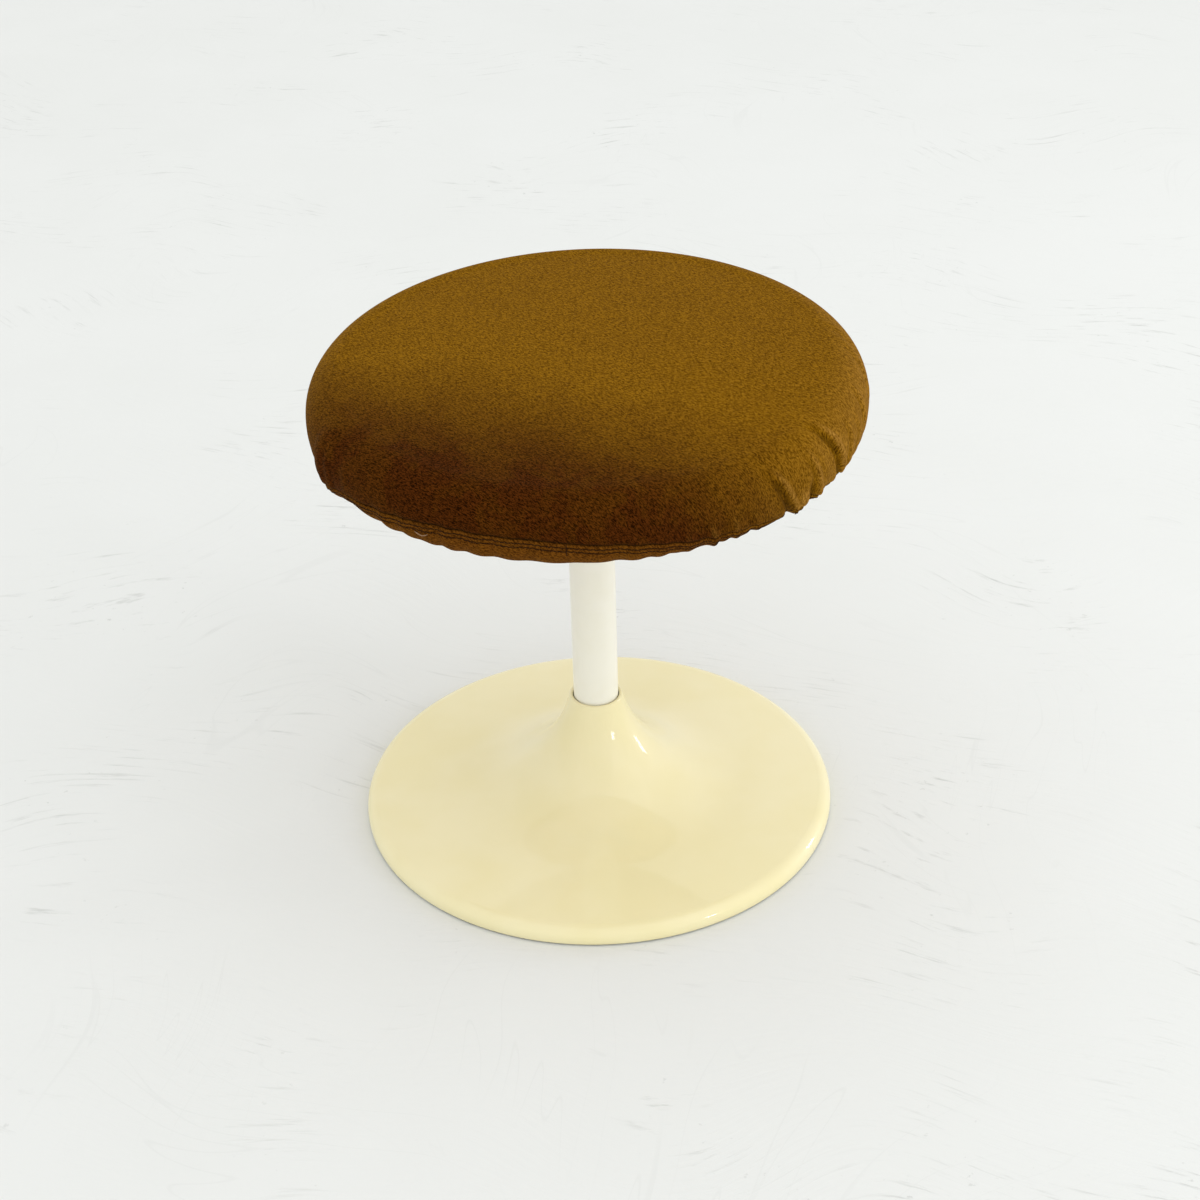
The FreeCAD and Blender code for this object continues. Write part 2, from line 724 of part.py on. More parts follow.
def foam_pad():
    """The foam: crowned on top, and wrapped down the board's edge inside the cover and its hem."""
    upper = CLOTH_THICK + SOFT_GAP
    lower = BAND_THICK + SOFT_GAP
    skirt_r = TUCK_RADIUS - lower
    skirt_foot = BOARD_UNDERSIDE + FOAM_TRIM
    skirt_angle = math.degrees(math.asin((skirt_foot - TUCK_Z) / skirt_r))
    board_side = BOARD_R + SOFT_GAP
    step = HEM_TOP + 2 * SOFT_GAP
    return turned(outline(
        at(0, BOARD_TOP + SOFT_GAP),
        at(board_side, BOARD_TOP + SOFT_GAP),
        at(board_side, skirt_foot),
        arc(TUCK_CENTRE, skirt_r, skirt_angle, 0),
        at(SEAT_R - lower, step),
        at(SEAT_R - upper, step),
        *shoulder_and_crown(upper),
    ))


def seat_cover():
    """The cloth cover above its hem: the side, the shoulder and the crown as one skin."""
    foot = HEM_TOP + SOFT_GAP
    return turned(outline(
        at(SEAT_R, foot),
        *shoulder_and_crown(0),
        *reversed(shoulder_and_crown(CLOTH_THICK)),
        at(SEAT_R - CLOTH_THICK, foot),
    ))


def tuck_strip(outer, inner, low_angle, top):
    """A strip that follows the tuck between two depths, from an angle below level and up to a height."""
    return outline(
        arc(TUCK_CENTRE, TUCK_RADIUS - outer, low_angle, 0),
        at(SEAT_R - outer, top),
        at(SEAT_R - inner, top),
        arc(TUCK_CENTRE, TUCK_RADIUS - inner, 0, low_angle),
    )


HEM_FOLD_ANGLE = math.degrees(CLOTH_THICK / TUCK_RADIUS)


def hem_band():
    """The cover's hem: a closed tube of cloth round the cushion's lower edge, with room for the elastic."""
    cloth = tuck_strip(0, BAND_THICK, -TUCK_ANGLE, HEM_TOP)
    inner = BAND_THICK - CLOTH_THICK
    room = tuck_strip(CLOTH_THICK, inner, HEM_FOLD_ANGLE - TUCK_ANGLE, HEM_TOP - CLOTH_THICK)
    return turned(cloth, room)


def hem_elastic():
    """The flat elastic band inside the hem."""
    outer = TUCK_RADIUS - CLOTH_THICK - SOFT_GAP
    low = 2 * HEM_FOLD_ANGLE - TUCK_ANGLE
    high = low + ELASTIC_ANGLE
    return turned(outline(
        arc(TUCK_CENTRE, outer, low, high),
        arc(TUCK_CENTRE, outer - ELASTIC_THICK, high, low),
    ))


save("base_shell", base_shell())
save("ballast_disc", ballast_disc())
save("floor_ring", floor_ring())
save("shell_screws", *shell_screws())
save("shell_screw_washers", *shell_screw_washers())
save("post_tube", post_tube())
save("post_flange", post_flange())
save("flange_bolts", *flange_bolts())
save("flange_washers", *flange_washers())
save("flange_nuts", *flange_nuts())
save("lower_bush", lower_bush())
save("upper_bush", upper_bush())
save("thrust_washer", thrust_washer())
save("seat_spindle", seat_spindle())
save("spindle_washer", spindle_washer())
save("spindle_clip", spindle_clip())
save("seat_hub", seat_hub())
save("seat_plate", seat_plate())
save("seat_screws", *seat_screws())
save("seat_screw_washers", *seat_screw_washers())
save("tee_nuts", *tee_nuts())
save("seat_board", seat_board())
save("foam_pad", foam_pad())
save("seat_cover", seat_cover())
save("hem_band", hem_band())
save("hem_elastic", hem_elastic())
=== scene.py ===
"""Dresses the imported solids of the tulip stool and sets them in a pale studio.

Lengths are in millimetres until a mesh is written, and in metres in materials and lamps. The floor
is z = 0, the stool's axis is x = y = 0, and the side that the camera sees faces -Y.
"""
import logging
import math
from dataclasses import dataclass, field
from enum import Enum

import bpy
import numpy as np
from mathutils import Matrix, Vector


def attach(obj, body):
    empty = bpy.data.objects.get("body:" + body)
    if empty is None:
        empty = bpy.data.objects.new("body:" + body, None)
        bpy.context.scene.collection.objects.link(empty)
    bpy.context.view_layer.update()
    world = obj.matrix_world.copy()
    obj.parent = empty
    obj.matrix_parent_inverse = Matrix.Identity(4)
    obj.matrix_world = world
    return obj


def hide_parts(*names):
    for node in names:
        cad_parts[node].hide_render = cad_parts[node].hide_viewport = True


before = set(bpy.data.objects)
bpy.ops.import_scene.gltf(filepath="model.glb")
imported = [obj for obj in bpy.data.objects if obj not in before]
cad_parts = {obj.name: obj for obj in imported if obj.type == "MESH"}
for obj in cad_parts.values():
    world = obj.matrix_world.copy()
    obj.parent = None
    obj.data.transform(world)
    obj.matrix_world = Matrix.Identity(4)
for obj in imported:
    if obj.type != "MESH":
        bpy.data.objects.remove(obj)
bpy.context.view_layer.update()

LOG = logging.getLogger("tulip_stool")
MM = 0.001
Colour = tuple[float, float, float, float]
Array = np.ndarray
Piece = bpy.types.Object
Socket = bpy.types.NodeSocket
Outputs = bpy.types.bpy_prop_collection


def srgb(red: int, green: int, blue: int) -> Colour:
    """Turns a colour picked on a screen, 0 to 255, into the linear values that shaders take.

    Args:
        red, green, blue: the three channels.

    Returns:
        Linear red, green and blue, and full opacity.
    """
    channels = [c / 255.0 for c in (red, green, blue)]
    linear = [c / 12.92 if c <= 0.04045 else ((c + 0.055) / 1.055) ** 2.4 for c in channels]
    return (linear[0], linear[1], linear[2], 1.0)


def ease(x: Array) -> Array:
    """Goes from 0 to 1 with level ends: 3x^2 - 2x^3, held at 0 below 0 and at 1 above 1."""
    x = np.clip(x, 0.0, 1.0)
    return x * x * (3.0 - 2.0 * x)


def bell(x: Array) -> Array:
    """A bell curve of height 1: e to the power of minus x squared."""
    return np.exp(-x * x)


def degrees_between(angle: Array, centre: Array | float) -> Array:
    """Degrees from centre to angle the short way round, from -180 to 180."""
    return (angle - centre + 180.0) % 360.0 - 180.0


def unit(vectors: Array) -> Array:
    """The vectors made one long."""
    return vectors / np.maximum(np.linalg.norm(vectors, axis=-1, keepdims=True), 1e-9)


def round_axis(radius: Array, azimuth: Array, height: Array | float) -> Array:
    """x, y and z at a radius and an azimuth in degrees round the stool's axis, and at a height."""
    radius, turn, height = np.broadcast_arrays(radius, np.radians(azimuth), height)
    return np.stack([radius * np.cos(turn), radius * np.sin(turn), height], axis=-1)


def running_sum(values: Array) -> Array:
    """Sum of the values up to each one, from 0, with each step the mean of its two ends."""
    return np.append(0.0, np.cumsum((values[1:] + values[:-1]) / 2.0))


def evened(grid: Array, reach: int) -> Array:
    """The grid averaged over reach columns each way."""
    return sum(np.roll(grid, shift, axis=1) for shift in range(-reach, reach + 1)) / (2 * reach + 1)


class Mesher:
    """Writes numpy grids into Blender meshes."""

    @staticmethod
    def quads(rows: int, cols: int, wrap_rows: bool = False) -> Array:
        """Numbers the faces of a grid whose columns close on themselves.

        Args:
            rows, cols: the grid's size, its points numbered row by row.
            wrap_rows: whether the last row joins the first one too.

        Returns:
            One row of four point numbers for each face. With columns that run anticlockwise seen
            from above and rows that run up the outside, the faces point outwards.
        """
        i, j = np.meshgrid(np.arange(rows if wrap_rows else rows - 1), np.arange(cols), indexing="ij")
        i_next, j_next = (i + 1) % rows, (j + 1) % cols
        corners = [i * cols + j, i * cols + j_next, i_next * cols + j_next, i_next * cols + j]
        return np.stack(corners, axis=-1).reshape(-1, 4)

    @staticmethod
    def fan(ring: int, cols: int, pole: int, above: bool) -> Array:
        """Closes a ring of points onto one pole point.

        Args:
            ring: number of the ring's first point.
            cols: how many points the ring has.
            pole: number of the pole point.
            above: True where the pole comes after the ring in the grid's order.

        Returns:
            One row of three point numbers for each face.
        """
        j = np.arange(cols)
        first, second = ring + j, ring + (j + 1) % cols
        ends = (first, second) if above else (second, first)
        return np.stack([ends[0], ends[1], np.full(cols, pole)], axis=-1)

    @staticmethod
    def thinned(strides: list[int], cols: int) -> tuple[Array, list[Array]]:
        """Numbers the faces of a closed grid that has fewer columns near its two poles.

        A row keeps every stride-th point. Between rows of one stride lie quads. Where the stride
        doubles or halves, each short edge pair and the long edge beside it make a face of five
        corners. A fan closes each end onto a pole, so few faces meet at any point.

        Args:
            strides: the stride of each row, each the same as, twice or half the one before it.
            cols: columns of the full grid.

        Returns:
            Numbers of the kept points in the full grid, and the faces over them. The pole after
            the last row comes right after the kept points, then the pole before the first row.
        """
        kept = [row * cols + np.arange(0, cols, stride) for row, stride in enumerate(strides)]
        first = np.cumsum([0] + [len(row) for row in kept])
        faces = []
        for row, (low, high) in enumerate(zip(strides, strides[1:])):
            below, above = len(kept[row]), len(kept[row + 1])
            k = np.arange(min(below, above))
            if low == high:
                ends = [(0, k), (0, k + 1), (1, k + 1), (1, k)]
            elif low < high:
                ends = [(0, 2 * k), (0, 2 * k + 1), (0, 2 * k + 2), (1, k + 1), (1, k)]
            else:
                ends = [(0, k), (0, k + 1), (1, 2 * k + 2), (1, 2 * k + 1), (1, 2 * k)]
            sizes = (below, above)
            corners = [first[row + side] + place % sizes[side] for side, place in ends]
            faces.append(np.stack(corners, axis=-1))
        last = len(strides) - 1
        faces.append(Mesher.fan(first[last], len(kept[last]), first[-1], True))
        faces.append(Mesher.fan(0, len(kept[0]), first[-1] + 1, False))
        return np.concatenate(kept), faces

    @staticmethod
    def write(name: str, points: Array, faces: list[Array], flat: Array | None = None,
              marks: Array | None = None) -> Piece:
        """Makes an object at the origin from points in millimetres.

        Args:
            name: the object's name.
            points: one row of x, y, z for each point.
            faces: arrays of point numbers, each with its own count of corners.
            flat: place of each point on the cut cloth, in metres, kept as the UV map "flat".
            marks: painted shade above 0 and painted light below 0, one number for each point, kept as the
            attribute "painted_shading".

        Returns:
            The linked, smooth-shaded object.
        """
        mesh = bpy.data.meshes.new(name)
        mesh.from_pydata((points * MM).tolist(), [], [face for part in faces for face in part.tolist()])
        if flat is not None:
            corners = np.empty(len(mesh.loops), np.int32)
            mesh.loops.foreach_get("vertex_index", corners)
            layer = mesh.uv_layers.new(name="flat")
            layer.data.foreach_set("uv", flat[corners].astype(np.float32).ravel())
        if marks is not None:
            attribute = mesh.attributes.new("painted_shading", "FLOAT", "POINT")
            attribute.data.foreach_set("value", marks.astype(np.float32).ravel())
        mesh.polygons.foreach_set("use_smooth", np.ones(len(mesh.polygons), dtype=bool))
        mesh.update()
        piece = bpy.data.objects.new(name, mesh)
        bpy.context.scene.collection.objects.link(piece)
        return piece

    @staticmethod
    def soften(piece: Piece) -> None:
        """Adds one level of subdivision, the same on screen and in renders."""
        modifier = piece.modifiers.new("soften", "SUBSURF")
        modifier.levels = modifier.render_levels = 1


class Way(Enum):
    """Ways in which bands follow each other, by Blender's names for them."""

    UP = "Z"
    SLANTING = "DIAGONAL"


class Sheet:
    """One node tree, with short calls that place its nodes and join them."""

    def __init__(self, tree: bpy.types.NodeTree) -> None:
        """Keeps the tree that the calls work on."""
        self.tree = tree

    def put(self, kind: str, inputs: dict | None = None, **settings: object) -> bpy.types.Node:
        """Adds a node.

        Args:
            kind: Blender's name for the node type.
            inputs: sockets by name or number, each with a value or another node's output.
            settings: the node's own properties.

        Returns:
            The node.
        """
        node = self.tree.nodes.new(kind)
        for key, value in settings.items():
            setattr(node, key, value)
        for key, value in (inputs or {}).items():
            if isinstance(value, Socket):
                self.tree.links.new(value, node.inputs[key])
            else:
                node.inputs[key].default_value = value
        return node

    def math(self, operation: str, a: object, b: object = 0.0, clamp: bool = False) -> Socket:
        """Output of one Math node on a and b."""
        return self.put("ShaderNodeMath", {0: a, 1: b}, operation=operation, use_clamp=clamp).outputs[0]

    def times(self, a: object, b: object, clamp: bool = False) -> Socket:
        """The product of a and b."""
        return self.math("MULTIPLY", a, b, clamp)

    def plus(self, a: object, b: object, clamp: bool = False) -> Socket:
        """The sum of a and b."""
        return self.math("ADD", a, b, clamp)

    def vectors(self, operation: str, a: object, b: object = (0.0, 0.0, 0.0)) -> Outputs:
        """Outputs of one Vector Math node on a and b: Vector, and Value where the result is a number."""
        return self.put("ShaderNodeVectorMath", {0: a, 1: b}, operation=operation).outputs

    def mix(self, share: object, a: object, b: object) -> Socket:
        """Number a turned into number b by share."""
        return self.put("ShaderNodeMix", {0: share, 2: a, 3: b}, data_type="FLOAT").outputs[0]

    def blend(self, share: object, a: object, b: object) -> Socket:
        """Colour a turned into colour b by share."""
        return self.put("ShaderNodeMix", {0: share, 6: a, 7: b}, data_type="RGBA").outputs[2]

    def span(self, value: object, low: float, high: float, to_low: float = 0.0,
             to_high: float = 1.0) -> Socket:
        """Carries value from the range low to high smoothly to the range to_low to to_high."""
        inputs = {"Value": value, "From Min": low, "From Max": high, "To Min": to_low, "To Max": to_high}
        return self.put("ShaderNodeMapRange", inputs, interpolation_type="SMOOTHSTEP").outputs["Result"]

    def noise(self, vector: object, scale: object, detail: float = 2.0, roughness: float = 0.5,
              distortion: float = 0.0, output: str = "Fac") -> Socket:
        """Value or colour of a noise texture.

        Args:
            vector, scale: where on the pattern, and how fine it is.
            detail, roughness, distortion: the texture's own inputs.
            output: name of the output.

        Returns:
            That output.
        """
        inputs = {"Vector": vector, "Scale": scale, "Detail": detail, "Roughness": roughness,
                  "Distortion": distortion}
        return self.put("ShaderNodeTexNoise", inputs).outputs[output]

    def cells(self, vector: object, scale: object) -> Socket:
        """Distance to the nearest of many scattered points."""
        return self.put("ShaderNodeTexVoronoi", {"Vector": vector, "Scale": scale}).outputs["Distance"]

    def bands(self, way: Way, vector: object, scale: float, distortion: float, detail: float) -> Socket:
        """Wavy bands that follow each other one way.

        Args:
            way: which way.
            vector, scale: where on the pattern, and how fine it is.
            distortion, detail: how wavy the bands are.

        Returns:
            From 0 to 1 and back over each band.
        """
        inputs = {"Vector": vector, "Scale": scale, "Distortion": distortion, "Detail": detail}
        wave = self.put("ShaderNodeTexWave", inputs, wave_type="BANDS", bands_direction=way.value)
        return wave.outputs["Fac"]

    def turn(self, vector: object, scale: tuple[float, float, float],
             degrees: tuple[float, float, float] = (0.0, 0.0, 0.0)) -> Socket:
        """The vector turned by degrees, and then stretched by scale.

        Args:
            vector: what is turned.
            scale, degrees: one number for each axis.

        Returns:
            The new vector.
        """
        inputs = {"Vector": vector, "Rotation": tuple(math.radians(d) for d in degrees)}
        turned = self.put("ShaderNodeVectorRotate", inputs, rotation_type="EULER_XYZ")
        return self.vectors("MULTIPLY", turned.outputs[0], scale)[0]

    def place(self) -> Socket:
        """Where a point lies on its piece, in metres."""
        return self.put("ShaderNodeTexCoord").outputs["Object"]

    def height(self, vector: object) -> Socket:
        """The z of a vector."""
        return self.put("ShaderNodeSeparateXYZ", {0: vector}).outputs["Z"]

    def away(self, vector: object) -> Socket:
        """Distance from the stool's axis."""
        return self.vectors("LENGTH", self.vectors("MULTIPLY", vector, (1.0, 1.0, 0.0))[0])["Value"]

    def bump(self, height: object, metres: float) -> Socket:
        """Normal of a surface whose height of 1 stands metres high."""
        inputs = {"Height": height, "Distance": metres, "Strength": 1.0}
        return self.put("ShaderNodeBump", inputs).outputs["Normal"]


class Effect(Enum):
    """The shared effects, by the names of their node groups."""

    MOTTLE = "mottle"
    GRAIN = "grain"
    SCRATCHES = "scratches"
    DUST = "dust"
    EDGES = "worn_edges"


class Effects:
    """Builds each shared effect once, and places it in a material's tree."""

    SCRATCH_TURNS = ((23.0, 14.0), (-51.0, 11.0), (84.0, 17.0))
    EDGE_RADIUS = 0.0007

    def __init__(self) -> None:
        """Names the makers of the groups."""
        self.makers = {Effect.MOTTLE: self.mottle, Effect.GRAIN: self.grain,
                       Effect.SCRATCHES: self.scratches, Effect.DUST: self.dust, Effect.EDGES: self.edges}

    def place(self, sheet: Sheet, effect: Effect, vector: Socket, scale: float,
              amount: float = 1.0) -> Socket:
        """Puts an effect into a tree.

        Args:
            sheet: the tree.
            effect: which effect.
            vector, scale, amount: the effect's inputs.

        Returns:
            The effect's mask.
        """
        tree = bpy.data.node_groups.get(effect.value) or self.build(effect)
        inputs = {"Vector": vector, "Scale": scale, "Amount": amount}
        return sheet.put("ShaderNodeGroup", inputs, node_tree=tree).outputs["Mask"]

    def build(self, effect: Effect) -> bpy.types.NodeTree:
        """Makes the group for an effect, with a Vector, a Scale and an Amount in and a Mask out.

        Args:
            effect: which effect.

        Returns:
            The group's tree.
        """
        tree = bpy.data.node_groups.new(effect.value, "ShaderNodeTree")
        for name, kind in (("Vector", "NodeSocketVector"), ("Scale", "NodeSocketFloat"),
                           ("Amount", "NodeSocketFloat")):
            tree.interface.new_socket(name=name, in_out="INPUT", socket_type=kind)
        tree.interface.new_socket(name="Mask", in_out="OUTPUT", socket_type="NodeSocketFloat")
        sheet = Sheet(tree)
        ins = sheet.put("NodeGroupInput").outputs
        mask = self.makers[effect](sheet, ins["Vector"], ins["Scale"], ins["Amount"])
        sheet.put("NodeGroupOutput", {"Mask": mask})
        return tree

    @staticmethod
    def mottle(sheet: Sheet, vector: Socket, scale: Socket, amount: Socket) -> Socket:
        """Soft clouds with finer clouds in them, as in aged plastic. Amount is their contrast.

        Args:
            sheet: the group's tree.
            vector, scale, amount: the group's inputs.

        Returns:
            The mask.
        """
        wide = sheet.noise(vector, scale, 3.0, 0.55, 0.4)
        fine = sheet.noise(vector, sheet.times(scale, 5.3))
        both = sheet.plus(sheet.times(wide, 0.65), sheet.times(fine, 0.35))
        return sheet.times(sheet.span(both, 0.36, 0.64), amount, clamp=True)

    @staticmethod
    def grain(sheet: Sheet, vector: Socket, scale: Socket, amount: Socket) -> Socket:
        """Small round grains of uneven size, as on a casting or a moulding.

        Args:
            sheet: the group's tree.
            vector, scale, amount: the group's inputs.

        Returns:
            The mask.
        """
        fine = sheet.noise(vector, sheet.times(scale, 1.7), 3.0, 0.6)
        both = sheet.plus(sheet.times(sheet.cells(vector, scale), 0.5), sheet.times(fine, 0.5))
        return sheet.times(both, amount)

    @staticmethod
    def scratches(sheet: Sheet, vector: Socket, scale: Socket, amount: Socket) -> Socket:
        """Thin marks: the lines on which a stretched noise is one half, kept in a few patches.

        Args:
            sheet: the group's tree.
            vector, scale, amount: the group's inputs.

        Returns:
            The mask.
        """
        total = 0.0
        for degrees, stretch in Effects.SCRATCH_TURNS:
            bent = sheet.turn(vector, (1.0, stretch, 1.0), (0.0, 0.0, degrees))
            lines = sheet.math("ABSOLUTE", sheet.math("SUBTRACT", sheet.noise(bent, scale, 1.0), 0.5))
            aslant = sheet.turn(vector, (1.0, 1.0, 1.0), (degrees, 0.0, degrees))
            patches = sheet.noise(aslant, scale, 1.0)
            one = sheet.times(sheet.span(lines, 0.006, 0.0), sheet.span(patches, 0.56, 0.66))
            total = sheet.math("MAXIMUM", total, one)
        return sheet.times(total, amount, clamp=True)

    @staticmethod
    def dust(sheet: Sheet, vector: Socket, scale: Socket, amount: Socket) -> Socket:
        """Specks and a thin film that lie on what faces up.

        Args:
            sheet: the group's tree.
            vector, scale, amount: the group's inputs.

        Returns:
            The mask.
        """
        up = sheet.height(sheet.put("ShaderNodeNewGeometry").outputs["Normal"])
        film = sheet.span(sheet.noise(vector, sheet.times(scale, 0.08), 3.0), 0.35, 0.75, 0.1, 0.45)
        specks = sheet.plus(sheet.span(sheet.cells(vector, scale), 0.16, 0.07), film, clamp=True)
        return sheet.times(sheet.times(sheet.span(up, 0.35, 0.95), specks), amount, clamp=True)

    @staticmethod
    def edges(sheet: Sheet, vector: Socket, scale: Socket, amount: Socket) -> Socket:
        """Broken marks along edges, where the rounded normal leaves the true one.

        Args:
            sheet: the group's tree.
            vector, scale, amount: the group's inputs.

        Returns:
            The mask.
        """
        rounded = sheet.put("ShaderNodeBevel", {"Radius": Effects.EDGE_RADIUS}, samples=4)
        true = sheet.put("ShaderNodeNewGeometry")
        same = sheet.vectors("DOT_PRODUCT", rounded.outputs["Normal"], true.outputs["Normal"])["Value"]
        broken = sheet.span(sheet.noise(vector, scale, 4.0, 0.65), 0.38, 0.62)
        return sheet.times(sheet.times(sheet.span(same, 0.995, 0.9), broken), amount, clamp=True)


EFFECTS = Effects()
MADE: dict[str, bpy.types.Material] = {}


@dataclass(frozen=True)
class Look:
    """What a finish feeds to its shader.

    Attributes:
        colour, roughness, height: outputs of the material's own nodes.
        depth: how high a height of 1 stands, in metres.
        constants: the shader's other sockets, with values that are the same all over.
    """

    colour: Socket
    roughness: Socket
    height: Socket
    depth: float
    constants: dict[str, float | Colour] = field(default_factory=dict)


@dataclass(frozen=True)
class Finish:
    """A material. The kinds below say how its surface looks.

    Attributes:
        name: the material's name.
    """

    name: str

    def look(self, sheet: Sheet) -> Look:
        """What this finish shows, from nodes that it adds to the sheet."""
        raise NotImplementedError

    def material(self) -> bpy.types.Material:
        """Builds the material on the first call, and keeps it.

        Returns:
            The material.
        """
        if self.name not in MADE:
            material = MADE[self.name] = bpy.data.materials.new(self.name)
            material.use_nodes = True
            material.node_tree.nodes.clear()
            sheet = Sheet(material.node_tree)
            look = self.look(sheet)
            inputs = {"Base Color": look.colour, "Roughness": look.roughness,
                      "Normal": sheet.bump(look.height, look.depth)}
            shader = sheet.put("ShaderNodeBsdfPrincipled", inputs | look.constants)
            sheet.put("ShaderNodeOutputMaterial", {"Surface": shader.outputs[0]})
        return MADE[self.name]

    def on(self, piece: Piece) -> None:
        """Gives the material to every slot of a piece, or to a first slot where it has none.

        Args:
            piece: the piece.
        """
        if not piece.material_slots:
            piece.data.materials.append(self.material())
        for slot in piece.material_slots:
            slot.material = self.material()


@dataclass(frozen=True)
class HardFinish(Finish):
    """Plastic, lacquer, rubber or metal, with its stains, grain, marks and dust.

    Attributes:
        main, stain: the surface's colour and that of its clouds.
        roughness: its lowest and highest value.
        metallic, specular, coat, coat_roughness: constants of the shader.
        clouds, clouds_share: how many clouds in a metre, and how strong they are.
        grain, grain_depth: grains in a metre, and their depth in metres.
        scratches, dust: how much of these the surface has.
        wear, bare: how much of its edges is rubbed through, and the colour underneath.
    """

    main: Colour
    stain: Colour
    roughness: tuple[float, float]
    metallic: float = 0.0
    specular: float = 0.5
    coat: float = 0.0
    coat_roughness: float = 0.08
    clouds: float = 14.0
    clouds_share: float = 1.0
    grain: float = 1500.0
    grain_depth: float = 0.00002
    scratches: float = 0.0
    dust: float = 0.0
    wear: float = 0.0
    bare: Colour = (0.5, 0.5, 0.5, 1.0)

    def look(self, sheet: Sheet) -> Look:
        """Clouds between two colours, then wear and dust over them.

        Args:
            sheet: the material's tree.

        Returns:
            What goes into the shader.
        """
        place = sheet.place()
        clouds = EFFECTS.place(sheet, Effect.MOTTLE, place, self.clouds, self.clouds_share)
        height = EFFECTS.place(sheet, Effect.GRAIN, place, self.grain)
        colour = sheet.blend(clouds, self.main, self.stain)
        rough = sheet.span(clouds, 0.0, 1.0, *self.roughness)
        if self.scratches:
            marks = EFFECTS.place(sheet, Effect.SCRATCHES, place, 9.0, self.scratches)
            rough = sheet.plus(rough, sheet.times(marks, 0.3), clamp=True)
            height = sheet.math("SUBTRACT", height, sheet.times(marks, 0.5))
        if self.wear:
            wear_and_side_light = EFFECTS.place(sheet, Effect.EDGES, place, 700.0, self.wear)
            colour = sheet.blend(wear_and_side_light, colour, self.bare)
        if self.dust:
            dust = EFFECTS.place(sheet, Effect.DUST, place, 260.0, self.dust)
            colour = sheet.blend(dust, colour, srgb(214, 208, 196))
            rough = sheet.plus(rough, sheet.times(dust, 0.5), clamp=True)
        constants = {"Metallic": self.metallic, "Specular IOR Level": self.specular,
                     "Coat Weight": self.coat, "Coat Roughness": self.coat_roughness}
        return Look(colour, rough, height, self.grain_depth, constants)


@dataclass(frozen=True)
class NapCloth(Finish):
    """Brushed cloth whose short fibres lie on the slant, with painted shade on its front left side.

    Attributes:
        lit_side, lit_side_root: colour of the tips and the roots of the nap away from the painted shade.
        shaded_side, shaded_side_root: the same in the painted shade on the front left side.
        painted_light, painted_light_root: the same where light is painted on crests and the right side.
        painted_shading: colour of painted shade in a fold, and of painted shade and dirt at a seam.
        light_way: the direction on the cut cloth in which the painted shade gives way.
        light_range: where along that direction it starts to give way and is gone, in metres.
        patchiness: how far the clouds of its nap move the painted shade either way.
        strokes, slant: strokes of nap in a metre each way, and the way they lie in degrees.
        fuzz, weave: specks and threads in a metre.
    """

    lit_side: Colour = srgb(146, 102, 16)
    lit_side_root: Colour = srgb(84, 53, 1)
    shaded_side: Colour = srgb(82, 40, 8)
    shaded_side_root: Colour = srgb(30, 10, 0)
    painted_light: Colour = srgb(178, 132, 58)
    painted_light_root: Colour = srgb(118, 78, 20)
    painted_shading: Colour = srgb(20, 7, 1)
    light_way: tuple[float, float, float] = (0.42, 0.908, 0.0)
    light_range: tuple[float, float] = (-0.19, -0.02)
    patchiness: float = 0.07
    strokes: tuple[float, float, float] = (400.0, 1120.0, 1.0)
    slant: float = 42.0
    fuzz: float = 2300.0
    weave: float = 420.0

    def look(self, sheet: Sheet) -> Look:
        """Strokes of nap over the weave, with clouds where it was brushed another way.

        The point attribute is 1 of painted shade in a hollow's bottom and -1 of painted light on a crest.

        Args:
            sheet: the material's tree.

        Returns:
            What goes into the shader.
        """
        cut = sheet.put("ShaderNodeUVMap", uv_map="flat").outputs["UV"]
        strokes = sheet.noise(sheet.turn(cut, self.strokes, (0.0, 0.0, self.slant)), 1.0, 2.0, 0.6, 0.9)
        fuzz = sheet.noise(cut, self.fuzz, 2.0, 0.6)
        brushed = EFFECTS.place(sheet, Effect.MOTTLE, cut, 17.0)
        painted_shading = sheet.put("ShaderNodeAttribute", attribute_name="painted_shading").outputs["Fac"]
        # Painted shade: the colours darken and redden towards the front left side of the cushion.
        along = sheet.vectors("DOT_PRODUCT", cut, self.light_way)["Value"]
        ramp = sheet.span(along, *self.light_range)
        patches = sheet.span(brushed, 0.0, 1.0, -self.patchiness, self.patchiness)
        lit_share = sheet.plus(ramp, patches, clamp=True)
        lift = sheet.plus(sheet.times(strokes, 0.72), sheet.times(fuzz, 0.28))
        shown = sheet.span(lift, 0.40, 0.60)
        colour = sheet.blend(shown, sheet.blend(lit_share, self.shaded_side_root, self.lit_side_root),
                             sheet.blend(lit_share, self.shaded_side, self.lit_side))
        # Painted shade in the bottom of the folds, and painted shade and dirt along the seam and
        # stitches.
        colour = sheet.blend(sheet.math("MAXIMUM", painted_shading, 0.0), colour, self.painted_shading)
        # Painted light on the crests at the front right and down the right side.
        crest = sheet.times(painted_shading, -1.0, clamp=True)
        colour = sheet.blend(crest, colour, sheet.blend(shown, self.painted_light_root, self.painted_light))
        threads = sheet.bands(Way.SLANTING, cut, self.weave, 1.5, 1.0)
        constants = {"Sheen Weight": 0.09, "Sheen Roughness": 0.35, "Sheen Tint": srgb(235, 185, 120),
                     "Specular IOR Level": 0.01}
        rough = sheet.span(shown, 0.0, 1.0, 0.95, 0.78)
        return Look(colour, rough, sheet.plus(lift, sheet.times(threads, 0.12)), 0.0004, constants)


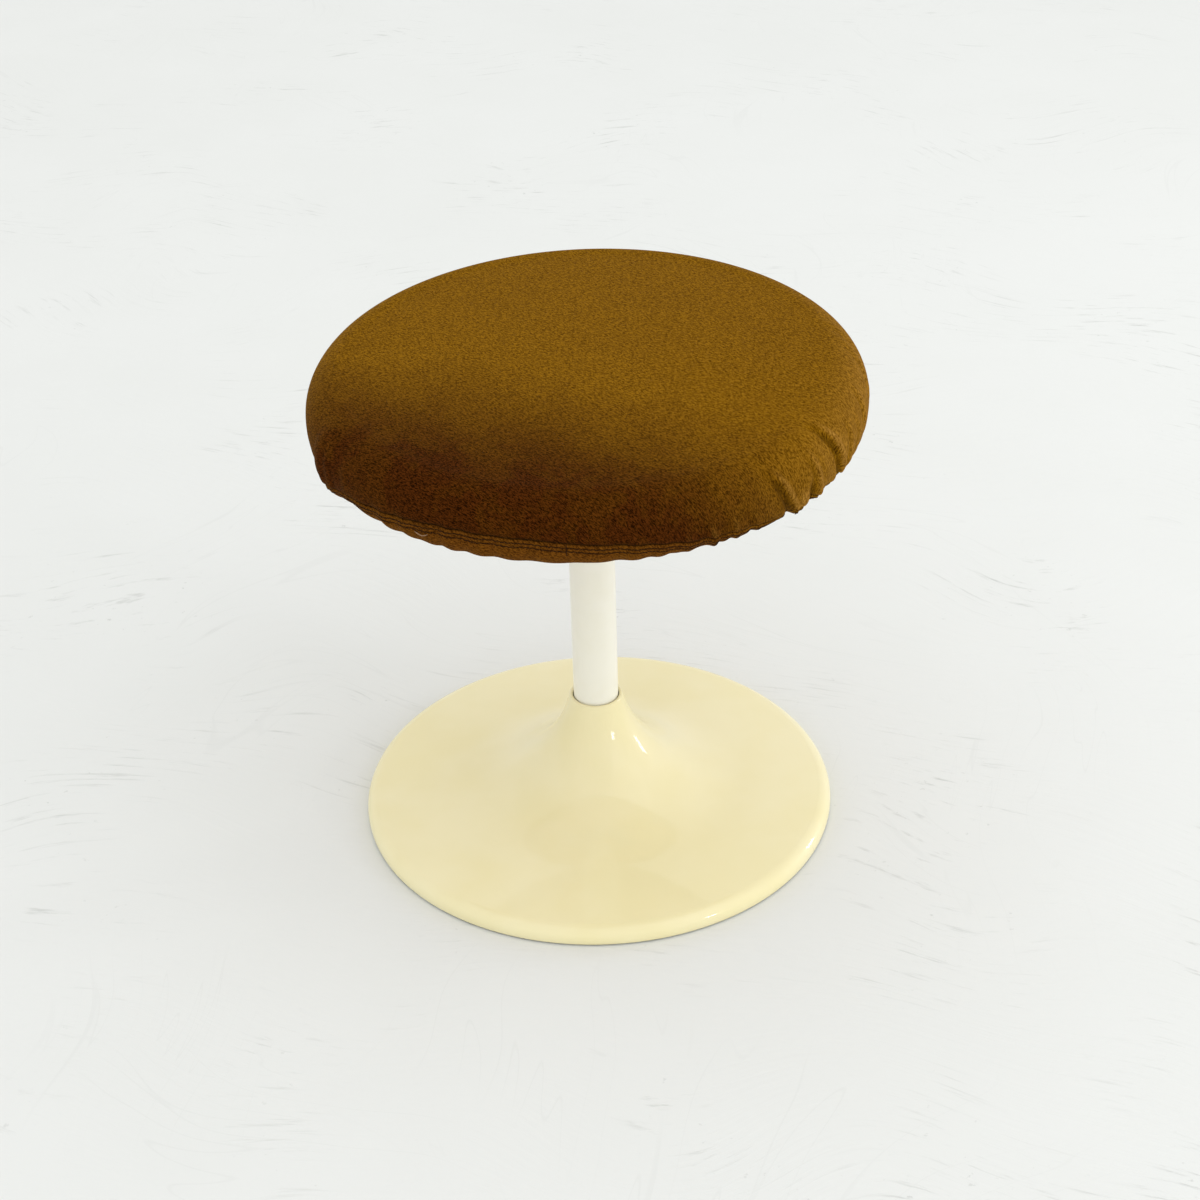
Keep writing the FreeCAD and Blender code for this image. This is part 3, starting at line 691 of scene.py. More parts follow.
@dataclass(frozen=True)
class Plywood(Finish):
    """Birch plywood, with its veneer's grain on the faces and its plies round the edge.

    Attributes:
        pale, dark: the wood's two colours.
        edge, edge_blend: radius in metres beyond which the plies show, and how far they take to
            do so.
        ply: thickness of one ply in metres.
    """

    pale: Colour = srgb(214, 181, 132)
    dark: Colour = srgb(170, 126, 78)
    edge: float = 0.1884
    edge_blend: float = 0.0008
    ply: float = 0.0014

    def look(self, sheet: Sheet) -> Look:
        """Long grain lines on the faces and level bands on the edge.

        Args:
            sheet: the material's tree.

        Returns:
            What goes into the shader.
        """
        place = sheet.place()
        lines = sheet.noise(sheet.turn(place, (9.0, 240.0, 60.0)), 1.0, 4.0, 0.6, 0.8)
        pores = sheet.noise(sheet.turn(place, (90.0, 2400.0, 600.0)), 1.0)
        fibres = sheet.span(lines, 0.32, 0.7)
        face = sheet.plus(fibres, sheet.span(pores, 0.6, 0.75, 0.0, 0.4), clamp=True)
        level = sheet.times(sheet.height(place), math.pi / self.ply)
        band = sheet.plus(sheet.times(sheet.math("SINE", level), 0.5), 0.5)
        rim = sheet.span(sheet.away(place), self.edge, self.edge + self.edge_blend)
        shade = sheet.mix(rim, face, sheet.span(band, 0.3, 0.7))
        colour = sheet.blend(shade, self.pale, self.dark)
        return Look(colour, sheet.span(shade, 0.0, 1.0, 0.62, 0.78), shade, 0.00012)


@dataclass(frozen=True)
class FoamCells(Finish):
    """Cut cushion foam with open cells, gone yellow with age.

    Attributes:
        wall, pit_shade: colour of the foam between its cells, and the painted shade inside them.
        cells, grain: cells and grains in a metre.
    """

    wall: Colour = srgb(224, 196, 128)
    pit_shade: Colour = srgb(170, 134, 70)
    cells: float = 900.0
    grain: float = 2400.0

    def look(self, sheet: Sheet) -> Look:
        """Round pits of two sizes.

        Args:
            sheet: the material's tree.

        Returns:
            What goes into the shader.
        """
        place = sheet.place()
        grain = EFFECTS.place(sheet, Effect.GRAIN, place, self.grain)
        pits = sheet.span(sheet.cells(place, self.cells), 0.15, 0.55)
        depth = sheet.plus(pits, sheet.times(grain, 0.4))
        # Painted shade: the pits of the cells are darker than the walls between them.
        colour = sheet.blend(sheet.span(depth, 0.1, 0.9), self.pit_shade, self.wall)
        rough = sheet.span(depth, 0.0, 1.2, 0.98, 0.86)
        return Look(colour, rough, depth, 0.0007, {"Subsurface Weight": 0.1})


@dataclass(frozen=True)
class Webbing(Finish):
    """Knitted elastic with cords of rubber under its threads.

    Attributes:
        thread, gap: colours of its ribs and of what lies between them.
        ribs: ribs in a metre, counted in height.
        stitches: stitches of the knit in a metre each way.
    """

    thread: Colour = srgb(226, 222, 210)
    gap: Colour = srgb(150, 144, 130)
    ribs: float = 900.0
    stitches: tuple[float, float, float] = (900.0, 900.0, 500.0)

    def look(self, sheet: Sheet) -> Look:
        """Level ribs crossed by the slanting stitches of the knit.

        Args:
            sheet: the material's tree.

        Returns:
            What goes into the shader.
        """
        place = sheet.place()
        rib = sheet.bands(Way.UP, place, self.ribs / 6.28, 0.6, 2.0)
        knit = sheet.noise(sheet.turn(place, self.stitches, (30.0, 0.0, 30.0)), 1.0, 1.0)
        height = sheet.plus(rib, sheet.times(knit, 0.5))
        colour = sheet.blend(sheet.span(height, 0.3, 1.1), self.gap, self.thread)
        rough = sheet.span(height, 0.2, 1.2, 0.92, 0.8)
        return Look(colour, rough, height, 0.0003, {"Sheen Weight": 0.2})


@dataclass(frozen=True)
class SewingThread(Finish):
    """Twisted sewing thread.

    Attributes:
        main, shade: colours of the thread and of its twist.
        twist: turns of the twist in a metre.
    """

    main: Colour
    shade: Colour
    twist: float = 700.0

    def look(self, sheet: Sheet) -> Look:
        """Slanting turns of the twist.

        Args:
            sheet: the material's tree.

        Returns:
            What goes into the shader.
        """
        twist = sheet.bands(Way.SLANTING, sheet.place(), self.twist, 2.0, 1.0)
        colour = sheet.blend(twist, self.shade, self.main)
        rough = sheet.span(twist, 0.0, 1.0, 0.9, 0.7)
        return Look(colour, rough, twist, 0.0001, {"Specular IOR Level": 0.08})


@dataclass(frozen=True)
class PaintedFloor(Finish):
    """White painted floor with the faint marks of shoes and furniture.

    Attributes:
        paint, cloud, mark: its colour, and those of its clouds and its marks.
        clouds_share: how strong the clouds are.
        strokes: strokes of the trowel in a metre each way.
    """

    paint: Colour = srgb(230, 232, 231)
    cloud: Colour = srgb(219, 221, 218)
    mark: Colour = srgb(176, 179, 176)
    clouds_share: float = 0.14
    strokes: tuple[float, float, float] = (16.0, 170.0, 1.0)

    def look(self, sheet: Sheet) -> Look:
        """Wide faint clouds, curved strokes of the trowel in patches, hair cracks and specks.

        Args:
            sheet: the material's tree.

        Returns:
            What goes into the shader.
        """
        place = sheet.place()
        clouds = EFFECTS.place(sheet, Effect.MOTTLE, place, 1.6, self.clouds_share)
        drift = sheet.noise(place, 2.4, 1.0, output="Color")
        moved = sheet.vectors("ADD", place, sheet.vectors("MULTIPLY", drift, (0.42, 0.42, 0.0))[0])[0]
        lines = sheet.noise(sheet.turn(moved, self.strokes, (0.0, 0.0, 14.0)), 1.0, 4.0, 0.66)
        patches = sheet.span(sheet.noise(place, 5.5, 3.0), 0.46, 0.66)
        strokes = sheet.times(sheet.span(lines, 0.56, 0.74), patches)
        cracks = EFFECTS.place(sheet, Effect.SCRATCHES, moved, 2.6, 0.07)
        specks = sheet.span(sheet.noise(place, 120.0, 3.0, 0.6), 0.66, 0.74, 0.0, 0.4)
        spots = sheet.times(specks, patches)
        marks = sheet.math("MAXIMUM", sheet.times(strokes, 0.55), sheet.math("MAXIMUM", cracks, spots))
        colour = sheet.blend(marks, sheet.blend(clouds, self.paint, self.cloud), self.mark)
        rough = sheet.span(clouds, 0.0, self.clouds_share, 0.62, 0.75)
        return Look(colour, rough, sheet.plus(lines, marks), 0.0004, {"Specular IOR Level": 0.2})


SHELL_PLASTIC = HardFinish("aged_plastic", srgb(241, 232, 189), srgb(238, 228, 179), (0.36, 0.44),
                           specular=0.25, coat=0.6, coat_roughness=0.05, clouds=5.0, grain=700.0,
                           grain_depth=0.000006, scratches=0.3, dust=0.05)
POST_LACQUER = HardFinish("white_lacquer", srgb(241, 240, 230), srgb(237, 235, 220), (0.32, 0.38),
                          coat=0.15, coat_roughness=0.16, clouds=11.0, clouds_share=0.6, grain=900.0,
                          grain_depth=0.000006, scratches=0.05, dust=0.05)
RING_RUBBER = HardFinish("black_rubber", srgb(38, 37, 36), srgb(62, 60, 57), (0.62, 0.8), clouds=60.0,
                         grain_depth=0.00006, dust=0.3)
WEIGHT_IRON = HardFinish("cast_iron", srgb(70, 70, 72), srgb(96, 66, 46), (0.5, 0.8), metallic=0.75,
                         clouds=26.0, clouds_share=0.6, grain=650.0, grain_depth=0.0004, wear=0.5,
                         bare=srgb(130, 128, 126))
BARE_STEEL = HardFinish("plain_steel", srgb(150, 150, 150), srgb(112, 104, 96), (0.28, 0.5), metallic=1.0,
                        clouds=35.0, grain=1100.0, grain_depth=0.00004, scratches=0.8, wear=0.6,
                        bare=srgb(205, 205, 205))
ZINC_STEEL = HardFinish("zinc_plating", srgb(176, 180, 186), srgb(150, 152, 150), (0.3, 0.48),
                        metallic=1.0, clouds=140.0, grain=2200.0, grain_depth=0.00003, wear=0.5,
                        bare=srgb(220, 222, 224))
BUSH_NYLON = HardFinish("white_nylon", srgb(226, 222, 206), srgb(208, 202, 182), (0.4, 0.55), clouds=70.0,
                        grain_depth=0.00004)
COVER_CLOTH = NapCloth("brushed_cloth")
# The casing's colours in the painted shade are lighter than the cover's.
HEM_CLOTH = NapCloth("brushed_casing", shaded_side=srgb(116, 70, 18), shaded_side_root=srgb(60, 30, 3))
PAD_FOAM = FoamCells("cut_foam")
ELASTIC_WEBBING = Webbing("knitted_elastic")
BOARD_PLYWOOD = Plywood("birch_plywood")
SEAM_THREAD = SewingThread("brown_thread", srgb(50, 23, 5), srgb(26, 10, 2))
LOOSE_THREAD = SewingThread("pale_thread", srgb(176, 146, 118), srgb(120, 90, 66))


@dataclass
class HardParts:
    """The stool's moulded, turned and pressed parts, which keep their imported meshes.

    Attributes:
        finishes: the finish of each node.
    """

    finishes: dict[Finish, tuple[str, ...]] = field(default_factory=lambda: {
        SHELL_PLASTIC: ("base_shell",),
        RING_RUBBER: ("floor_ring",),
        WEIGHT_IRON: ("ballast_disc",),
        POST_LACQUER: ("post_tube",),
        BARE_STEEL: ("post_flange", "seat_plate", "seat_hub", "seat_spindle", "spindle_clip"),
        BUSH_NYLON: ("lower_bush", "upper_bush", "thrust_washer"),
        BOARD_PLYWOOD: ("seat_board",),
        ZINC_STEEL: ("shell_screws", "shell_screw_washers", "flange_bolts", "flange_washers",
                     "flange_nuts", "spindle_washer", "seat_screws", "seat_screw_washers", "tee_nuts"),
    })

    def dress(self) -> None:
        """Gives each node its material."""
        for finish, names in self.finishes.items():
            for name in names:
                finish.on(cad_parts[name])
                LOG.info("%s keeps its packed mesh, in %s", name, finish.name)


@dataclass(frozen=True)
class Gather:
    """One fold of the cover: a ridge, and the hollow beside it on its left.

    Attributes:
        foot, top: azimuth in degrees and arc length in millimetres of the ridge's two ends.
        ridge, ridge_width: its height and half width in millimetres.
        hollow, hollow_width: the hollow's depth and half width.
        apart: distance from the ridge to the hollow.
    """

    foot: tuple[float, float]
    top: tuple[float, float]
    ridge: float
    ridge_width: float
    hollow: float = 0.0
    hollow_width: float = 4.0
    apart: float = 7.0

    PAST_ENDS = 0.3
    FADE_IN = 0.35
    FADE_OUT = 0.6
    FADE_END = 1.1

    def lift(self, azimuth: Array, arc: Array, radius: Array) -> Array:
        """Height of the fold over the smooth cushion.

        The ridge follows the straight line from foot to top. Across it the height is a bell curve
        up, less another bell curve to its left. Both fade in below the foot and out over the upper
        half, in shares of the line's length.

        Args:
            azimuth, arc: where, in degrees and in millimetres up the cushion's line.
            radius: distance from the axis there.

        Returns:
            Millimetres outwards.
        """
        along = (arc - self.foot[1]) / (self.top[1] - self.foot[1])
        kept = np.clip(along, -self.PAST_ENDS, 1.0 + self.PAST_ENDS)
        centre = self.foot[0] + (self.top[0] - self.foot[0]) * kept
        across = np.radians(degrees_between(azimuth, centre)) * radius
        ramp = ease((along + self.FADE_IN) / self.FADE_IN) * ease((self.FADE_END - along) / self.FADE_OUT)
        up = self.ridge * bell(across / self.ridge_width)
        down = self.hollow * bell((across + self.apart) / self.hollow_width)
        return (up - down) * ramp


@dataclass(frozen=True)
class CushionLine:
    """The cushion's outer line, in a plane through the stool's axis.

    It runs from under the board round the tuck, up the side, over the shoulder and along the crown
    to the axis. Arc length is 0 just inside the lowest point of the tuck.

    Attributes:
        tuck_centre, tuck_radius: the arc that the hem follows under the edge.
        shoulder_centre, shoulder_radius, shoulder_end: the arc from the side to the crown, in
            degrees above level at its end.
        under: how far the line runs inwards under the board.
        under_slope: how much it rises on the way.
    """

    tuck_centre: tuple[float, float] = (188.0, 356.0)
    tuck_radius: float = 16.0
    shoulder_centre: tuple[float, float] = (176.0, 365.0)
    shoulder_radius: float = 28.0
    shoulder_end: float = 85.44
    under: float = 26.0
    under_slope: float = 0.09

    UNDER_POINTS = 40
    JUST_INSIDE = 1e-6

    @staticmethod
    def bend(centre: tuple[float, float], radius: float, turn: Array) -> Array:
        """Radius and height of points on a circle, at angles in radians."""
        return np.stack([centre[0] + radius * np.cos(turn), centre[1] + radius * np.sin(turn)], axis=1)

    def points(self) -> Array:
        """Radius and height of closely spaced points along the line.

        Returns:
            One row for each point.
        """
        low = self.tuck_centre[1] - self.tuck_radius
        reach = np.linspace(self.under, 0.0, self.UNDER_POINTS, endpoint=False)
        under = np.stack([self.tuck_centre[0] - reach, low + self.under_slope * reach], axis=1)
        tuck = self.bend(self.tuck_centre, self.tuck_radius, np.radians(np.linspace(-90.0, 0.0, 120)))
        rise = np.linspace(self.tuck_centre[1], self.shoulder_centre[1], 20)[1:-1]
        side = np.stack([np.full(rise.shape, tuck[-1, 0]), rise], axis=1)
        turn = np.radians(np.linspace(0.0, self.shoulder_end, 160))
        shoulder = self.bend(self.shoulder_centre, self.shoulder_radius, turn)
        crown_radius = shoulder[-1, 0] / math.cos(turn[-1])
        middle = shoulder[-1, 1] - crown_radius * math.sin(math.radians(self.shoulder_end))
        crown = self.bend((0.0, middle), crown_radius, np.linspace(turn[-1], math.pi / 2.0, 200)[1:])
        return np.concatenate([under, tuck, side, shoulder, crown])

    def at(self, arc: Array) -> tuple[Array, Array, Array, Array]:
        """Looks up the line at arc lengths.

        Args:
            arc: arc lengths, of any shape.

        Returns:
            Radius, height, and the radial and upward parts of the outward normal.
        """
        line = self.points()
        run = np.append(0.0, np.cumsum(np.linalg.norm(np.diff(line, axis=0), axis=1)))
        under = slice(self.UNDER_POINTS + 1)
        run = run - np.interp(self.tuck_centre[0] - self.JUST_INSIDE, line[under, 0], run[under])
        slope = unit(np.gradient(line, run, axis=0))
        out, up = np.interp(arc, run, slope[:, 1]), np.interp(arc, run, -slope[:, 0])
        size = np.hypot(out, up)
        return np.interp(arc, run, line[:, 0]), np.interp(arc, run, line[:, 1]), out / size, up / size

    def length(self) -> float:
        """Arc length from the tuck's lowest point to the middle of the crown."""
        whole = float(np.linalg.norm(np.diff(self.points(), axis=0), axis=1).sum())
        return whole - self.under * math.hypot(1.0, self.under_slope)


@dataclass
class Cloth:
    """The cloth of cover and casing: a grid with rows up the cushion and columns round it.

    Attributes:
        azimuth: degrees of each column.
        arc: millimetres up the cushion's line, for each point.
        seam_row: number of the seam's row. The casing lies in the rows before it.
        lift: millimetres over the smooth cushion, for each point, before the cloth settles.
        points: x, y and z of each point.
    """

    azimuth: Array
    arc: Array
    seam_row: int
    lift: Array
    points: Array

    def normals(self) -> Array:
        """Unit normals, from the cross of the grid's two directions."""
        round_way = np.roll(self.points, -1, axis=1) - np.roll(self.points, 1, axis=1)
        return unit(np.cross(round_way, np.gradient(self.points, axis=0)))

    def rows_at(self, depth: Array | float) -> Array:
        """The rows, counted with fractions, that lie at a depth below the seam."""
        below = (self.arc[self.seam_row] - self.arc[:self.seam_row + 1])[:, 0]
        return np.interp(depth, below[::-1], np.arange(self.seam_row + 1)[::-1])

    def columns_at(self, azimuth: Array | float) -> Array:
        """The columns, counted with fractions, that lie at an azimuth."""
        return np.interp(azimuth, np.append(self.azimuth, 180.0), np.arange(len(self.azimuth) + 1))

    def at(self, grid: Array, row: Array, column: Array) -> Array:
        """Looks up a grid between its points, by straight lines between the four nearest.

        Args:
            grid: the points or the normals.
            row, column: places in it, counted with fractions. Columns wrap.

        Returns:
            x, y and z of each place.
        """
        columns = grid.shape[1]
        i = np.clip(np.floor(row).astype(int), 0, grid.shape[0] - 2)
        j = np.floor(column).astype(int)
        u, v = (row - i)[..., None], (column - j)[..., None]
        j, j_next = j % columns, (j + 1) % columns
        low = grid[i, j] * (1.0 - v) + grid[i, j_next] * v
        high = grid[i + 1, j] * (1.0 - v) + grid[i + 1, j_next] * v
        return low * (1.0 - u) + high * u


@dataclass(frozen=True)
class Simulation:
    """Settings of the cloth simulation that lets the cover settle.

    Attributes:
        mass, stiffness, bending, damping, pressure: the cloth's own settings.
        frames, quality: its length, and its steps in a frame.
        fullness: the share of the cut's fullness that it has everywhere, and what the front right
            adds.
        full_at, full_width: where in degrees it is fullest, and over what width.
        top: arc length up to which rows take part.
        held_from, held_to, held_share: arc lengths over which the hold grows, and how far, before
            the rows above are held in full.
        still_from, still_width: arc length from which the result is the start again, and how soon.
        cap: the most that a point may move.
    """

    mass: float = 0.0002
    stiffness: float = 10.0
    bending: float = 0.001
    damping: float = 2.0
    pressure: float = 15.0
    frames: int = 20
    quality: int = 5
    fullness: tuple[float, float] = (0.4, 0.6)
    full_at: float = -40.0
    full_width: float = 32.0
    top: float = 112.0
    held_from: float = 70.0
    held_to: float = 92.0
    held_share: float = 0.6
    still_from: float = 108.0
    still_width: float = 30.0
    cap: float = 4.0

    HOLD_STEPS = 20
    LEAST_DROP_SQUARED = 0.04
    LIFTED = 300.0

    def cut(self, line: CushionLine, azimuth: Array, arc: Array) -> Array:
        """The cloth's rest shape: a skirt as long as the cloth and as wide as it is cut.

        The width lies between the cushion's own radius and that of the flat disc that the cover is
        cut as. Each row drops by what is left of its length once the change in radius is taken off.

        Args:
            line: the cushion's line.
            azimuth, arc: the grid.

        Returns:
            x, y and z of each point.
        """
        radius = line.at(arc)[0]
        share = bell(degrees_between(azimuth, self.full_at) / self.full_width)
        fullness = self.fullness[0] + self.fullness[1] * share
        wide = radius + fullness * (np.maximum(line.length() - arc, radius) - radius)
        squared = np.diff(arc, axis=0) ** 2 - np.diff(wide, axis=0) ** 2
        drop = np.sqrt(np.maximum(squared, self.LEAST_DROP_SQUARED))
        level = np.concatenate([np.zeros((1, arc.shape[1])), np.cumsum(drop, axis=0)])
        return round_axis(wide, azimuth, level + self.LIFTED)

    def settings(self, piece: Piece, key: bpy.types.ShapeKey) -> None:
        """Gives the piece its cloth modifier, with the key as its rest shape.

        Args:
            piece: the cloth as a piece of its own.
            key: its rest shape.
        """
        modifier = piece.modifiers.new("drape", "CLOTH")
        cloth = modifier.settings
        cloth.quality, cloth.mass = self.quality, self.mass
        cloth.tension_stiffness = cloth.compression_stiffness = self.stiffness
        cloth.shear_stiffness = self.stiffness / 4.0
        cloth.bending_stiffness = self.bending
        cloth.tension_damping = cloth.compression_damping = self.damping
        cloth.air_damping = 1.0
        cloth.vertex_group_mass = "held"
        cloth.rest_shape_key = key
        cloth.use_pressure = True
        cloth.uniform_pressure_force = self.pressure
        cloth.effector_weights.gravity = 0.0
        modifier.collision_settings.use_collision = False

    def settle(self, line: CushionLine, cloth: Cloth) -> None:
        """Moves the cloth's points to where they settle.

        The elastic's edge and the crown are held, and the foam's push is a light pressure.

        Args:
            line: the cushion's line.
            cloth: the cloth.
        """
        rows = int(np.sum(cloth.arc[:, 0] < self.top))
        start, run = cloth.points[:rows], cloth.arc[:rows]
        piece = Mesher.write("settling_cloth", start.reshape(-1, 3), [Mesher.quads(rows, start.shape[1])])
        piece.shape_key_add(name="Basis")
        key = piece.shape_key_add(name="cut")
        key.data.foreach_set("co", (self.cut(line, cloth.azimuth, run) * MM).astype(np.float32).ravel())
        growth = ease((run - self.held_from) / (self.held_to - self.held_from))
        hold = np.where(run > self.held_to, 1.0, growth * self.held_share)
        hold[:2] = 1.0
        group = piece.vertex_groups.new(name="held")
        steps = np.round(hold.ravel() * self.HOLD_STEPS).astype(int)
        for step in range(1, self.HOLD_STEPS + 1):
            group.add(np.nonzero(steps == step)[0].tolist(), step / self.HOLD_STEPS, "REPLACE")
        self.settings(piece, key)
        scene = bpy.context.scene
        for frame_number in range(1, self.frames + 1):
            scene.frame_set(frame_number)
        settled = piece.evaluated_get(bpy.context.evaluated_depsgraph_get()).to_mesh()
        ends = np.empty(start.size, np.float32)
        settled.vertices.foreach_get("co", ends)
        scene.frame_set(1)
        bpy.data.objects.remove(piece, do_unlink=True)
        moved = ends.reshape(start.shape).astype(float) / MM - start
        far = np.linalg.norm(moved, axis=-1, keepdims=True)
        LOG.info("the cloth moved %.2f mm on average and %.2f mm at most", far.mean(), far.max())
        moved *= self.cap * np.tanh(far / self.cap) / np.maximum(far, 1e-6)
        cloth.points[:rows] += moved * ease((self.still_from - run) / self.still_width)[..., None]


@dataclass(frozen=True)
class Stitch:
    """One kind of stitch.

    Attributes:
        length, thickness: its size in millimetres.
        sunk: how deep its middle lies in the cloth.
    """

    length: float
    thickness: float
    sunk: float


@dataclass
class Cushion:
    """The foam pad in its slip-on cover, with the gathered hem that holds the cover on.

    Attributes:
        line: the cushion's outer line.
        gathers: the folds that stand out, in order round the seat from the right.
        simulation: how the cloth settles.
        columns: how many columns the cloth's grid has.
        finest, finest_width, fineness: where in degrees the columns lie closest, over what width,
            and how much closer.
        seam_peak, seam_rise, seam_low: azimuth and height of the seam's rise, and its arc length
            beside it.
        seam_widths: width in degrees of the rise on its left and on its right.
        seam_waves: height of each slow wave of the seam, how often it comes, and its start in degrees.
        casing: width of the hem's casing.
        wall: distance between the casing's two layers.
        cloth: thickness of the cloth.
        tilt: rise for each millimetre to the right, and for each millimetre to the back.
        tuck_depth: how far the elastic draws the lower edge in at the front.
        tuck_at, tuck_width: where in degrees it does so, and over what width.
        tuck_top, tuck_fade: arc length up to which it does so, and over what length it fades.
        groove, shade: depth and half width of the groove at the seam, and strength and half width
            of its dark line.
        stitch_groove, stitch_shade: the same for a line of stitches.
        stitch_rows: distances of the two stitched lines below the seam.
        stitch_count, stitch_slant: stitches in each line, and how far they slant.
        zigzag, joining: the stitches of these lines, and those that join the casing's ends.
        join, join_rows: azimuth of the join, and distances of its stitches below the seam.
        thread_at, thread_size: azimuth of the loose thread's upper end, and its half thickness.
        board_top, board_radius: the board's top and edge, which the foam lies on.
        hollow_shade, painted_light, wear_and_side_light: how dark the painted shade in a deep hollow
        is, and how pale the painted light on the crests at the front right and down the right side,
        each of these two with its azimuth and its width.
        gather_pitch, gather_size: range of the hem's small gathers, in millimetres.
        seed: starts the random draws.
    """

    line: CushionLine = field(default_factory=CushionLine)
    gathers: tuple[Gather, ...] = (
        Gather((6.5, 56.0), (17.0, 78.0), 0.9, 4.4, 0.9, 6.0, 9.5),
        Gather((-5.6, 43.0), (9.0, 74.0), 1.3, 4.2, 1.3, 6.0, 9.5),
        Gather((-16.2, 38.0), (-13.2, 63.0), 1.7, 2.2, 1.6, 3.4, 5.5),
        Gather((-22.0, 28.0), (-20.5, 54.0), 0.8, 2.2, 0.9, 3.0, 5.0),
        Gather((-26.6, 24.0), (-25.0, 56.0), 1.2, 2.0, 1.3, 2.8, 4.6),
        Gather((-28.6, 16.0), (-34.2, 70.0), 2.6, 2.0, 5.8, 3.9, 6.0),
        Gather((-38.6, 18.0), (-41.6, 62.0), 1.8, 2.0, 1.2, 3.0, 4.8),
        Gather((-39.6, 12.0), (-40.6, 34.0), 0.4, 2.4, 3.6, 3.2, 4.5),
        Gather((-43.6, 4.0), (-44.4, 36.0), 2.2, 5.0),
        Gather((-45.6, 14.0), (-52.0, 60.0), 2.4, 2.1, 3.6, 3.6, 5.8),
        Gather((-55.4, 12.0), (-58.5, 44.0), 0.9, 2.4, 1.0, 3.0, 5.0),
        Gather((-60.2, 10.0), (-62.6, 42.0), 1.2, 2.2, 1.1, 3.0, 5.0),
        Gather((-65.2, 10.0), (-67.4, 40.0), 1.2, 2.2, 1.2, 3.0, 5.0),
        Gather((-70.8, 12.0), (-72.0, 38.0), 0.7, 2.6, 0.7, 3.0, 5.0),
        Gather((-146.0, 24.0), (-146.5, 50.0), 0.7, 3.0, 0.8, 3.6, 6.0),
        Gather((-155.0, 8.0), (-156.0, 66.0), 4.2, 14.0),
        Gather((-151.6, 20.0), (-153.0, 52.0), 1.2, 2.6, 1.9, 3.4, 5.6),
        Gather((-158.0, 22.0), (-158.5, 52.0), 0.8, 3.0, 0.9, 3.6, 6.0),
    )
    simulation: Simulation = field(default_factory=Simulation)
    columns: int = 480
    finest: float = -45.0
    finest_width: float = 34.0
    fineness: float = 1.3
    seam_peak: float = -112.0
    seam_rise: float = 26.0
    seam_low: float = 9.0
    seam_widths: tuple[float, float] = (42.0, 56.0)
    seam_waves: tuple[tuple[float, float, float], ...] = ((0.5, 7.0, 40.0), (0.3, 17.0, 0.0))
    casing: float = 25.0
    wall: float = 3.0
    cloth: float = 1.0
    tilt: tuple[float, float] = (0.0113, 0.0169)
    tuck_depth: float = 2.5
    tuck_at: float = -104.0
    tuck_width: float = 46.0
    tuck_top: float = 30.0
    tuck_fade: float = 22.0
    groove: tuple[float, float] = (1.15, 1.3)
    shade: tuple[float, float] = (0.75, 0.8)
    stitch_groove: tuple[float, float] = (0.4, 0.8)
    stitch_shade: tuple[float, float] = (0.4, 0.7)
    stitch_rows: tuple[float, float] = (3.1, 6.2)
    stitch_count: int = 560
    stitch_slant: float = 0.42
    zigzag: Stitch = Stitch(2.3, 0.62, 0.18)
    joining: Stitch = Stitch(1.75, 0.5, 0.1)
    join: float = -94.7
    join_rows: tuple[float, ...] = (0.8, 2.5, 4.2, 5.9, 7.6, 9.3)
    thread_at: float = -122.6
    thread_size: float = 0.36
    board_top: float = 359.1
    board_radius: float = 190.3
    hollow_shade: float = 0.62
    painted_light: tuple[float, float, float] = (0.6, -36.0, 40.0)
    wear_and_side_light: tuple[float, float, float] = (0.38, -2.0, 36.0)
    gather_pitch: tuple[float, float] = (11.0, 34.0)
    gather_size: tuple[float, float] = (0.2, 2.0)
    seed: int = 7

    ROWS_BELOW = (25.0, 23.6, 21.8, 19.8, 17.6, 15.2, 12.8, 10.6, 8.6, 7.1, 6.2, 5.3, 4.0, 3.1, 2.2,
                  1.0, 0.0)
    ROWS_ABOVE = (0.0, 0.9, 2.0, 3.6, 5.8)
    BACK_ROWS = (0, 2, 4, 6, 8, 10, 13, 16)
    FINE_ROWS_TO, FINE_STEP = 64.0, 2.9
    ROWS_TO, WIDEST_STEP, STEP_GROWTH = 206.0, 13.0, 1.18
    MIDDLE_GAP = 10.0
    THINNED_FROM = (92.0, 130.0, 170.0, 205.0)
    GATHERS, HEM_RADIUS = 72, 200.0

    def azimuths(self) -> Array:
        """Azimuth of each column, closer together at the front right, where the folds are.

        Returns:
            Degrees, from -180 upwards. The columns' density is 1 plus a bell curve.
        """
        fine = np.linspace(-180.0, 180.0, 7201)
        density = 1.0 + self.fineness * bell((fine - self.finest) / self.finest_width)
        share = running_sum(density)
        return np.interp(np.arange(self.columns) / self.columns, share / share[-1], fine)

    def seam(self, azimuth: Array) -> Array:
        """Arc length of the seam between cover and casing, for each azimuth.

        It is drawn up highest at one azimuth and falls off on each side as a bell curve, with slow
        waves on it.

        Args:
            azimuth: degrees of the columns.

        Returns:
            Millimetres along the cushion's line.
        """
        turn = degrees_between(azimuth, self.seam_peak)
        width = np.where(turn > 0.0, self.seam_widths[1], self.seam_widths[0])
        waves = sum(size * np.sin(np.radians(azimuth * count + start))
                    for size, count, start in self.seam_waves)
        return self.seam_low + self.seam_rise * bell(turn / width) + waves

